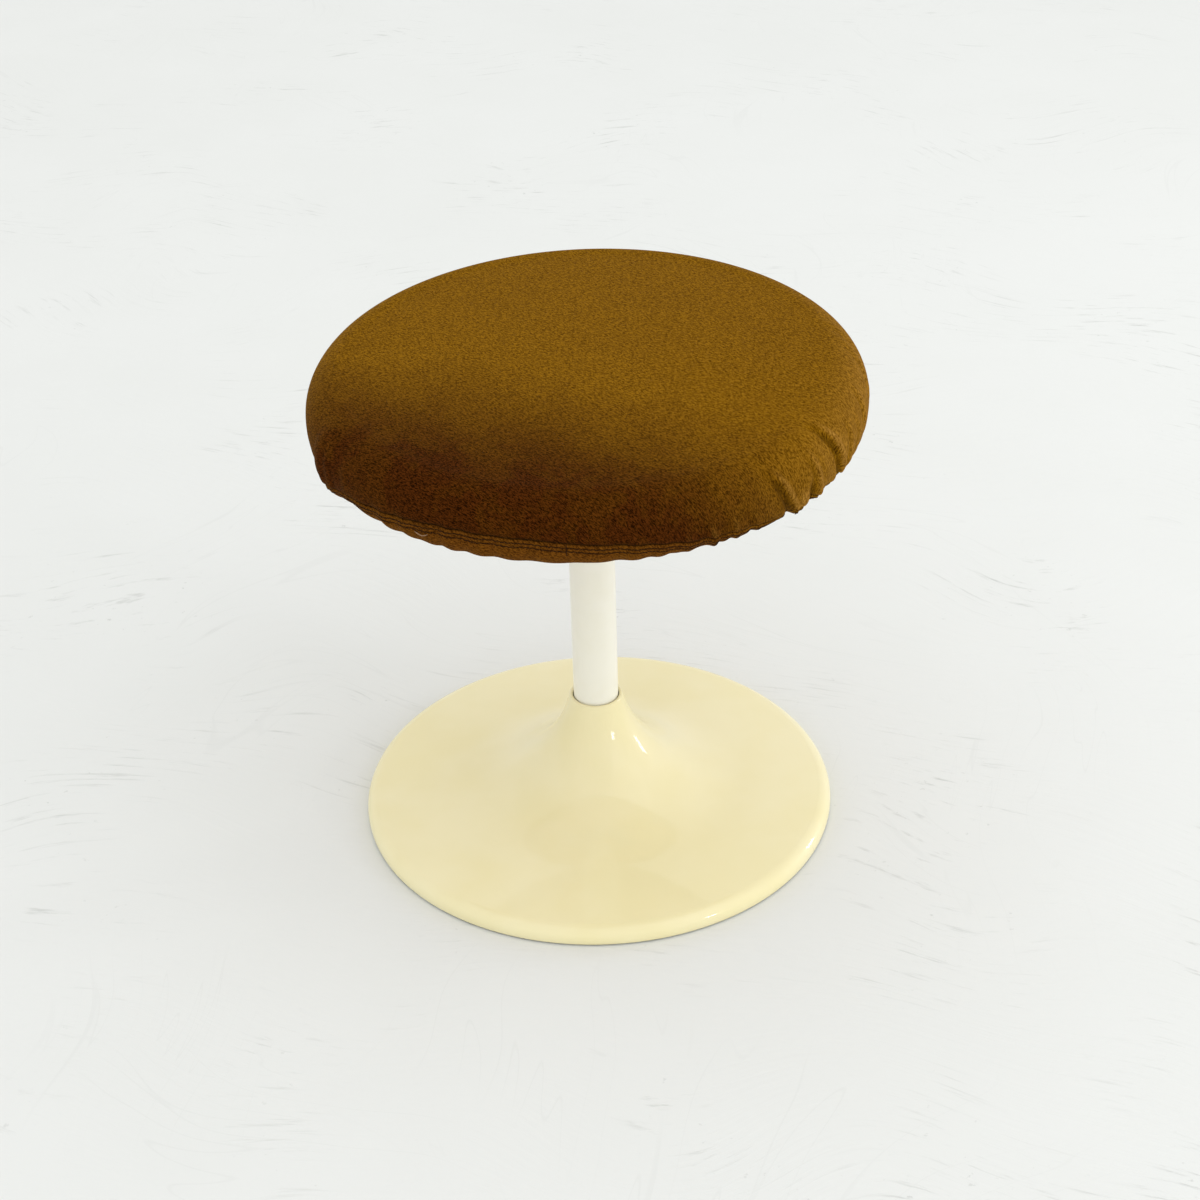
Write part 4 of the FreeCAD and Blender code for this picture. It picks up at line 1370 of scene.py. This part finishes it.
    def grid(self) -> tuple[Array, Array, int]:
        """Lays out the cloth's rows, from the casing's fold to near the middle of the crown.

        Returns:
            Azimuths of the columns, arc length for each row and column, and the seam's row number.
        """
        azimuth = self.azimuths()
        seam = self.seam(azimuth)
        below = np.array(self.ROWS_BELOW)
        above = list(self.ROWS_ABOVE)
        while above[-1] < self.FINE_ROWS_TO:
            above.append(above[-1] + self.FINE_STEP)
        while above[-1] < self.ROWS_TO:
            above.append(above[-1] + min(self.WIDEST_STEP, self.STEP_GROWTH * (above[-1] - above[-2])))
        rise = np.array(above) / (above[-1] + self.MIDDLE_GAP)
        hem = seam - below[:, None] * self.casing / below[0]
        cover = seam + rise[1:, None] * (self.line.length() - seam)
        return azimuth, np.concatenate([hem, cover]), len(below) - 1

    def scallops(self, azimuth: Array) -> Array:
        """Small gathers of the hem, a little rounder outwards than inwards.

        Their pitch wanders at random. The height is half of 1 plus the cosine of the running phase,
        to the power 0.75.

        Args:
            azimuth: degrees of the columns.

        Returns:
            For each column a number from about -1.1 to 0.9.
        """
        generator = np.random.default_rng(self.seed)
        knots = np.linspace(-180.0, 180.0, self.GATHERS + 1)
        pitch = generator.uniform(*self.gather_pitch, self.GATHERS)
        size = generator.uniform(*self.gather_size, self.GATHERS)
        fine = np.linspace(-180.0, 180.0, 3601)
        phase = running_sum(1.0 / np.interp(fine, knots, np.append(pitch, pitch[0])))
        step = math.radians(fine[1] - fine[0])
        phase *= round(phase[-1] * step * self.HEM_RADIUS) / phase[-1]
        wave = 0.5 + 0.5 * np.cos(2.0 * np.pi * np.interp(azimuth, fine, phase))
        return np.interp(azimuth, knots, np.append(size, size[0])) * (wave ** 0.75 - 0.55)

    def tuck(self, azimuth: Array, arc: Array) -> Array:
        """How far the elastic draws the lower edge in, in millimetres, most of all at the front."""
        front = bell(degrees_between(azimuth, self.tuck_at) / self.tuck_width)
        return self.tuck_depth * front * ease((self.tuck_top - arc) / self.tuck_fade)

    def folds(self, azimuth: Array, arc: Array) -> Array:
        """Height of all folds together over the smooth cushion."""
        radius = self.line.at(arc)[0]
        return sum(gather.lift(azimuth, arc, radius) for gather in self.gathers)

    def lift(self, azimuth: Array, arc: Array, seam_row: int) -> Array:
        """Height of the cloth over the cushion's smooth line.

        The folds add up. The small gathers are strongest from the stitches down and die out a few
        millimetres over the seam. The casing stands out a little between its fold and its stitches.

        Args:
            azimuth, arc: the grid.
            seam_row: number of the seam's row.

        Returns:
            Millimetres outwards for each point.
        """
        below = arc[seam_row] - arc
        strength = 1.1 * ease((below + 14.0) / 26.0) + 0.35 * bell((below + 4.0) / 12.0)
        return self.folds(azimuth, arc) + self.scallops(azimuth) * strength - self.tuck(azimuth, arc)

    def place(self, azimuth: Array, arc: Array, lift: Array | float) -> Array:
        """Puts points on the cushion, at a height over its line, with the cushion's tilt.

        The tilt is a share of x and a share of y, added to z. Where it lifts the cushion, it fades
        out underneath, so that the hem keeps clear of the board.

        Args:
            azimuth, arc: degrees, and millimetres along the line.
            lift: millimetres outwards.

        Returns:
            x, y and z of each point.
        """
        radius, height, out, up = self.line.at(arc)
        points = round_axis(radius + out * lift, azimuth, height + up * lift)
        rise = self.tilt[0] * points[..., 0] + self.tilt[1] * points[..., 1]
        points[..., 2] += rise * np.where(rise > 0.0, ease((arc - 4.0) / 22.0), 1.0)
        return points

    def flat(self, azimuth: Array, arc: Array) -> Array:
        """Place on the cut cloth in metres: what is left to the crown's middle, at the azimuth."""
        return round_axis((self.line.length() - arc) * MM, azimuth, 0.0)[..., :2].reshape(-1, 2)

    def crown(self, lift: float) -> Array:
        """The point in the middle of the crown, at a height over the cushion's line."""
        return self.place(np.zeros(1), np.array([self.line.length()]), lift)

    def fold_shading(self, cloth: Cloth) -> Array:
        """How much painted shade each point of the cover has in a fold, or how much painted light.

        Hollows get painted shade by their depth. Light is painted on crests at the front right, by how
        far they stand over the cloth near them, and all down the right side.

        Args:
            cloth: the cloth.

        Returns:
            From 0 to 1 of painted shade in a hollow, and below 0 where light is painted.
        """
        lift, arc = cloth.lift[cloth.seam_row:], cloth.arc[cloth.seam_row:]
        # Painted light on crests at the front right and all down the right side, painted shade in
        # hollows.
        painted_light, wear_and_side_light = (share * bell(degrees_between(cloth.azimuth, at) / width)
                        for share, at, width in (self.painted_light, self.wear_and_side_light))
        crest = ease((lift - evened(lift, 12) - 0.3) / 1.8)
        return self.hollow_shade * ease(-lift / 4.2) - painted_light * crest - wear_and_side_light * ease((84.0 - arc) / 36.0)

    def cover(self, cloth: Cloth) -> Piece:
        """Makes the cover: outer layer, its middle, and an inner layer one cloth further in.

        At the seam the cloth turns in, so that a groove is left there.

        Args:
            cloth: the cloth.

        Returns:
            The cover.
        """
        seam_row, depth = cloth.seam_row, self.cloth + 0.4
        outer, normal, run = cloth.points[seam_row:], cloth.normals()[seam_row:], cloth.arc[seam_row:]
        sunk = outer - normal * (self.groove[0] * bell((run - run[0]) / self.groove[1]))[..., None]
        # Painted shade and dirt in a dark line along the seam.
        seam_line = self.shade[0] * bell((run - run[0]) / self.shade[1])
        shade = np.where(seam_line > 0.1, seam_line, self.fold_shading(cloth))
        picked = np.r_[0:12:3, 12:len(outer):4]
        inner = (evened(outer, 3) - normal * depth)[picked][::-1]
        inner[-1] = sunk[0] - normal[0] * self.cloth
        rings = np.concatenate([inner, sunk])
        arcs = np.concatenate([run[picked][::-1], run])
        marks = np.concatenate([np.zeros(inner.shape[:2]), shade])
        strides = (2 ** np.digitize(arcs[:, 0], self.THINNED_FROM)).tolist()
        for row in range(len(inner), len(strides)):
            strides[row] = min(strides[row], 2 * strides[row - 1])
        for row in range(len(inner) - 1, -1, -1):
            strides[row] = min(strides[row], 2 * strides[row + 1])
        kept, faces = Mesher.thinned(strides, self.columns)
        middle = self.crown(0.0)
        below_middle = middle - np.array([[0.0, 0.0, depth]])
        points = np.concatenate([rings.reshape(-1, 3)[kept], middle, below_middle])
        flat = np.concatenate([self.flat(cloth.azimuth, arcs)[kept], np.zeros((2, 2))])
        marks = np.append(marks.ravel()[kept], [0.0, 0.0])
        piece = Mesher.write("seat_cover_cloth", points, faces, flat, marks)
        Mesher.soften(piece)
        return piece

    def hem(self, cloth: Cloth) -> Piece:
        """Makes the casing: its outer layer, the fold at its lower edge and the layer behind.

        Args:
            cloth: the cloth.

        Returns:
            The casing.
        """
        rows = cloth.seam_row + 1
        outer, normal, run = cloth.points[:rows], cloth.normals()[:rows], cloth.arc[:rows]
        below = run[-1] - run
        dip = self.groove[0] * bell(below / self.groove[1])
        # Painted shade and dirt in dark lines along the seam and the two stitched lines.
        marks = self.shade[0] * bell(below / self.shade[1])
        for depth in self.stitch_rows:
            dip = dip + self.stitch_groove[0] * bell((below - depth) / self.stitch_groove[1])
            marks = marks + self.stitch_shade[0] * bell((below - depth) / self.stitch_shade[1])
        even, even_normal = evened(outer, 5), evened(normal, 5)
        picked = np.array(self.BACK_ROWS)
        back = (even - even_normal * self.wall)[picked]
        back[0] = even[0] - even_normal[0] * (self.wall - 0.5)
        fold = even[0] - even_normal[0] * self.wall * 0.5 + (outer[0] - outer[1]) * 0.6
        rings = np.concatenate([outer - normal * dip[..., None], back[::-1], fold[None]])
        arcs = np.concatenate([run, run[picked][::-1], run[:1] - 1.0])
        shade = np.concatenate([marks, np.zeros((len(picked) + 1, self.columns))])
        faces = [Mesher.quads(len(rings), self.columns, True)]
        flat = self.flat(cloth.azimuth, arcs)
        piece = Mesher.write("hem_casing", rings.reshape(-1, 3), faces, flat, shade)
        Mesher.soften(piece)
        return piece

    @staticmethod
    def stitches(centres: Array, along: Array, normal: Array, stitch: Stitch) -> tuple[Array, Array]:
        """Makes many short stitches at once.

        Each is a rod of six sides on four rings, its end rings drawn in: centre, plus length along
        the stitch, plus a circle across it.

        Args:
            centres, along, normal: one row for each stitch, the last two of unit length. A stitch
                lies sunk under its centre.
            stitch: its kind.

        Returns:
            Points, and faces of four corners.
        """
        side = np.cross(normal, along)
        t = np.array([-1.0, -0.72, 0.72, 1.0]) * stitch.length / 2.0
        ring = np.array([0.25, 1.0, 1.0, 0.25]) * stitch.thickness / 2.0
        turn = np.radians(np.arange(6) * 60.0)
        rod = along[:, None, None] * t[:, None, None]
        circle = (side[:, None, None] * np.cos(turn)[:, None]
                  + normal[:, None, None] * np.sin(turn)[:, None]) * ring[:, None, None]
        points = (centres - normal * stitch.sunk)[:, None, None] + rod + circle
        caps = np.array([[3, 2, 1, 0], [5, 4, 3, 0], [18, 19, 20, 21], [18, 21, 22, 23]])
        one = np.concatenate([Mesher.quads(4, 6), caps])
        faces = (one + 24 * np.arange(len(centres))[:, None, None]).reshape(-1, 4)
        return points.reshape(-1, 3), faces

    def stitching(self, cloth: Cloth) -> Piece:
        """Makes the two zigzag lines that hold the casing, and the stitches that join its ends.

        Args:
            cloth: the cloth.

        Returns:
            The stitches, as one piece.
        """
        points, normal = cloth.points, cloth.normals()
        parts = []
        order = np.arange(self.stitch_count)
        slant = np.where(order % 2 == 0, self.stitch_slant, -self.stitch_slant)[:, None]
        for number, depth in enumerate(self.stitch_rows):
            rows = np.full(self.stitch_count, cloth.rows_at(depth))
            where = cloth.columns_at(-180.0 + 360.0 * (order + 0.4 * number) / self.stitch_count)
            out = unit(cloth.at(normal, rows, where))
            ahead = unit(cloth.at(points, rows, where + 0.5) - cloth.at(points, rows, where - 0.5))
            along = unit(ahead - unit(np.cross(ahead, out)) * slant)
            parts.append(self.stitches(cloth.at(points, rows, where), along, out, self.zigzag))
        rows = cloth.rows_at(np.array(self.join_rows))
        where = np.full(rows.shape, cloth.columns_at(self.join))
        out = cloth.at(normal, rows, where)
        along = unit(cloth.at(points, rows + 0.5, where) - cloth.at(points, rows - 0.5, where))
        parts.append(self.stitches(cloth.at(points, rows, where), along, out, self.joining))
        first = np.cumsum([0] + [len(part[0]) for part in parts])
        faces = np.concatenate([part[1] + start for part, start in zip(parts, first)])
        return Mesher.write("hem_stitching", np.concatenate([part[0] for part in parts]), [faces])

    def thread(self, cloth: Cloth) -> Piece:
        """Makes the loose end of thread that hangs from the stitches.

        A circle of seven sides is carried along an S-shaped line on the casing, thinner to its ends.

        Args:
            cloth: the cloth.

        Returns:
            The thread end.
        """
        rings, sides = 20, 7
        t = np.linspace(0.0, 1.0, rings)
        rows = cloth.rows_at(7.6 + 1.5 * t + 0.8 * np.sin(t * 5.0))
        where = cloth.columns_at(self.thread_at - 3.4 * t)
        out = cloth.at(cloth.normals(), rows, where)
        path = cloth.at(cloth.points, rows, where) + out * (0.25 + 0.9 * np.sin(t * math.pi))[:, None]
        along = unit(np.gradient(path, axis=0))
        side = unit(np.cross(out, along))
        top = np.cross(along, side)
        turn = np.radians(np.arange(sides) * 360.0 / sides)[:, None]
        taper = np.clip(np.sin(np.clip(t, 0.02, 0.98) * math.pi) * 1.8, 0.05, 1.0)
        size = self.thread_size * np.sqrt(taper)
        ring = side[:, None] * np.cos(turn) + top[:, None] * np.sin(turn)
        tube = (path[:, None] + ring * size[:, None, None]).reshape(-1, 3)
        faces = [Mesher.quads(rings, sides), Mesher.fan(0, sides, len(tube), False),
                 Mesher.fan(len(tube) - sides, sides, len(tube) + 1, True)]
        return Mesher.write("loose_thread", np.concatenate([tube, path[:1], path[-1:]]),
                            [part[:, ::-1] for part in faces])

    def foam(self) -> Piece:
        """Makes the foam pad, which fills the cover and wraps the board's edge.

        Its outer side is the cushion's line, drawn in by the cloth and by the depth of the folds.
        Its inner side is the board's top and edge.

        Returns:
            The pad.
        """
        columns, inset = 180, 2.1
        azimuth = np.arange(columns) * 360.0 / columns - 180.0
        total = self.line.length()
        arc = np.concatenate([np.linspace(9.6, 80.0, 26), np.linspace(90.0, total - 12.0, 12)])
        arc = np.repeat(arc[:, None], columns, axis=1)
        hollows = np.maximum(-self.folds(azimuth, arc), 0.0)
        depth = inset + 2.6 * ease((70.0 - arc) / 30.0) + hollows + self.tuck(azimuth, arc)
        top, edge = self.board_top, self.board_radius
        board = np.array([[60.0, top], [130.0, top], [188.0, top], [edge, top - 0.1], [edge, 357.0],
                          [edge, 349.0], [edge + 0.1, 346.9], [edge + 1.1, 346.8]])
        inner = round_axis(board[:, :1], azimuth, board[:, 1:])
        rings = np.concatenate([inner, self.place(azimuth, arc, -depth)])
        count = rings.shape[0] * columns
        faces = [Mesher.quads(rings.shape[0], columns), Mesher.fan(count - columns, columns, count, True),
                 Mesher.fan(0, columns, count + 1, False)]
        points = np.concatenate([rings.reshape(-1, 3), self.crown(-inset), [[0.0, 0.0, top]]])
        return Mesher.write("foam_cushion", points, faces)

    def elastic(self, cloth: Cloth) -> Piece:
        """Makes the elastic, a flat band that lies between the casing's two layers.

        Args:
            cloth: the cloth.

        Returns:
            The band.
        """
        depth = np.array([22.5, 19.0, 14.5, 14.3, 14.5, 19.0, 22.5, 22.7])
        inward = np.array([1.15, 1.15, 1.15, 1.45, 1.8, 1.8, 1.8, 1.45])
        columns = np.arange(self.columns, dtype=float)
        rows, columns = np.meshgrid(cloth.rows_at(depth), columns, indexing="ij")
        out = cloth.at(evened(cloth.normals(), 5), rows, columns)
        band = cloth.at(evened(cloth.points, 5), rows, columns) - out * inward[:, None, None]
        faces = [Mesher.quads(len(depth), self.columns, True)]
        return Mesher.write("elastic_band", band.reshape(-1, 3), faces)

    def build(self) -> list[Piece]:
        """Makes and dresses every piece of the cushion, and gives each its place in the frame.

        Returns:
            The pieces.
        """
        azimuth, arc, seam_row = self.grid()
        lift = self.lift(azimuth, arc, seam_row)
        cloth = Cloth(azimuth, arc, seam_row, lift, self.place(azimuth, arc, lift))
        self.simulation.settle(self.line, cloth)
        dressed = (
            (self.cover(cloth), COVER_CLOTH, "seat_cover", "cover_cloth"),
            (self.hem(cloth), HEM_CLOTH, "hem_band", "cover_cloth"),
            (self.stitching(cloth), SEAM_THREAD, None, "cover_cloth"),
            (self.thread(cloth), LOOSE_THREAD, None, "cover_cloth"),
            (self.foam(), PAD_FOAM, "foam_pad", "pad_foam"),
            (self.elastic(cloth), ELASTIC_WEBBING, "hem_elastic", "elastic_webbing"),
        )
        for piece, finish, node, slot in dressed:
            finish.on(piece)
            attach(piece, "seat")
            if node:
                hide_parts(node)
            LOG.info("%s has %d faces, in %s", piece.name, len(piece.data.polygons), finish.name)
        return [row[0] for row in dressed]


@dataclass(frozen=True)
class Lamp:
    """A flat lamp that faces a point near the stool.

    Attributes:
        name: the lamp's name.
        azimuth, elevation, distance: where it hangs, in degrees and metres from its target.
        size: its width and height in metres.
        watts: its power.
        target: the point that it faces.
    """

    name: str
    azimuth: float
    elevation: float
    distance: float
    size: tuple[float, float]
    watts: float
    target: tuple[float, float, float] = (0.03, -0.02, 0.06)

    def hang(self) -> None:
        """Adds the lamp to the scene."""
        turn, rise = math.radians(self.azimuth), math.radians(self.elevation)
        way = Vector((math.cos(rise) * math.cos(turn), math.cos(rise) * math.sin(turn), math.sin(rise)))
        data = bpy.data.lights.new(self.name, "AREA")
        data.shape = "RECTANGLE"
        data.size, data.size_y = self.size
        data.energy = self.watts
        lamp = bpy.data.objects.new(self.name, data)
        lamp.location = Vector(self.target) + way * self.distance
        lamp.rotation_euler = way.to_track_quat("Z", "Y").to_euler()
        bpy.context.scene.collection.objects.link(lamp)


@dataclass
class Studio:
    """Floor, sky, lamps and camera.

    Attributes:
        floor_size: side of the floor in metres.
        sky: strength of the even light from all sides.
        lamps: the lamps.
        eye: the camera's place in metres.
        yaw, pitch, roll: its turns in radians: to the right, down, and about its view.
        lens: focal length in millimetres on a 36 mm wide picture.
    """

    floor_size: float = 14.0
    sky: float = 1.03
    lamps: tuple[Lamp, ...] = (
        Lamp("right_window", 18.5, 9.5, 2.6, (0.26, 0.54), 7.0),
        Lamp("front_window", -43.0, 12.0, 2.6, (0.24, 0.32), 5.0),
        Lamp("ceiling_light", -30.0, 50.0, 3.2, (2.4, 2.4), 10.0),
    )
    eye: tuple[float, float, float] = (0.0, -1.5798, 1.1945)
    yaw: float = 0.0033
    pitch: float = 0.5677
    roll: float = -0.0290
    lens: float = 73.3

    def floor(self) -> None:
        """Lays the floor."""
        half = self.floor_size / 2.0 / MM
        corners = [[-half, -half, 0.0], [half, -half, 0.0], [half, half, 0.0], [-half, half, 0.0]]
        piece = Mesher.write("floor", np.array(corners), [np.array([[0, 1, 2, 3]])])
        PaintedFloor("floor_paint").on(piece)

    def world(self) -> None:
        """Sets the sky: even light, and white where the camera, gloss or glass looks at it."""
        world = bpy.data.worlds.new("studio_sky")
        world.use_nodes = True
        world.node_tree.nodes.clear()
        sheet = Sheet(world.node_tree)
        path = sheet.put("ShaderNodeLightPath").outputs
        seen = sheet.math("MAXIMUM", sheet.math("MAXIMUM", path["Is Camera Ray"], path["Is Glossy Ray"]),
                          path["Is Transmission Ray"])
        inputs = {"Color": srgb(255, 255, 253), "Strength": sheet.mix(seen, self.sky, 1.0)}
        light = sheet.put("ShaderNodeBackground", inputs)
        sheet.put("ShaderNodeOutputWorld", {"Surface": light.outputs[0]})
        bpy.context.scene.world = world

    def camera(self) -> None:
        """Puts the camera where the photograph was taken from."""
        yaw, pitch, roll = self.yaw, self.pitch, self.roll
        level = math.cos(pitch)
        ahead = Vector((math.sin(yaw) * level, math.cos(yaw) * level, -math.sin(pitch)))
        right = Vector((math.cos(yaw), -math.sin(yaw), 0.0))
        up = right.cross(ahead)
        right_turned = math.cos(roll) * right + math.sin(roll) * up
        up_turned = math.cos(roll) * up - math.sin(roll) * right
        data = bpy.data.cameras.new("photo_camera")
        data.sensor_width, data.lens = 36.0, self.lens
        camera = bpy.data.objects.new("photo_camera", data)
        turn = Matrix((right_turned, up_turned, -ahead)).transposed().to_4x4()
        camera.matrix_world = Matrix.Translation(Vector(self.eye)) @ turn
        bpy.context.scene.collection.objects.link(camera)
        bpy.context.scene.camera = camera

    def build(self) -> None:
        """Sets up the whole studio."""
        self.floor()
        self.world()
        self.camera()
        for lamp in self.lamps:
            lamp.hang()
        bpy.context.scene.view_settings.view_transform = "Standard"
        LOG.info("studio with %d lamps and the photograph's camera", len(self.lamps))


def main() -> None:
    logging.basicConfig(level=logging.INFO, format="%(message)s")
    Studio().build()
    HardParts().dress()
    Cushion().build()
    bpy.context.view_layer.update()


if __name__ == "__main__":
    main()
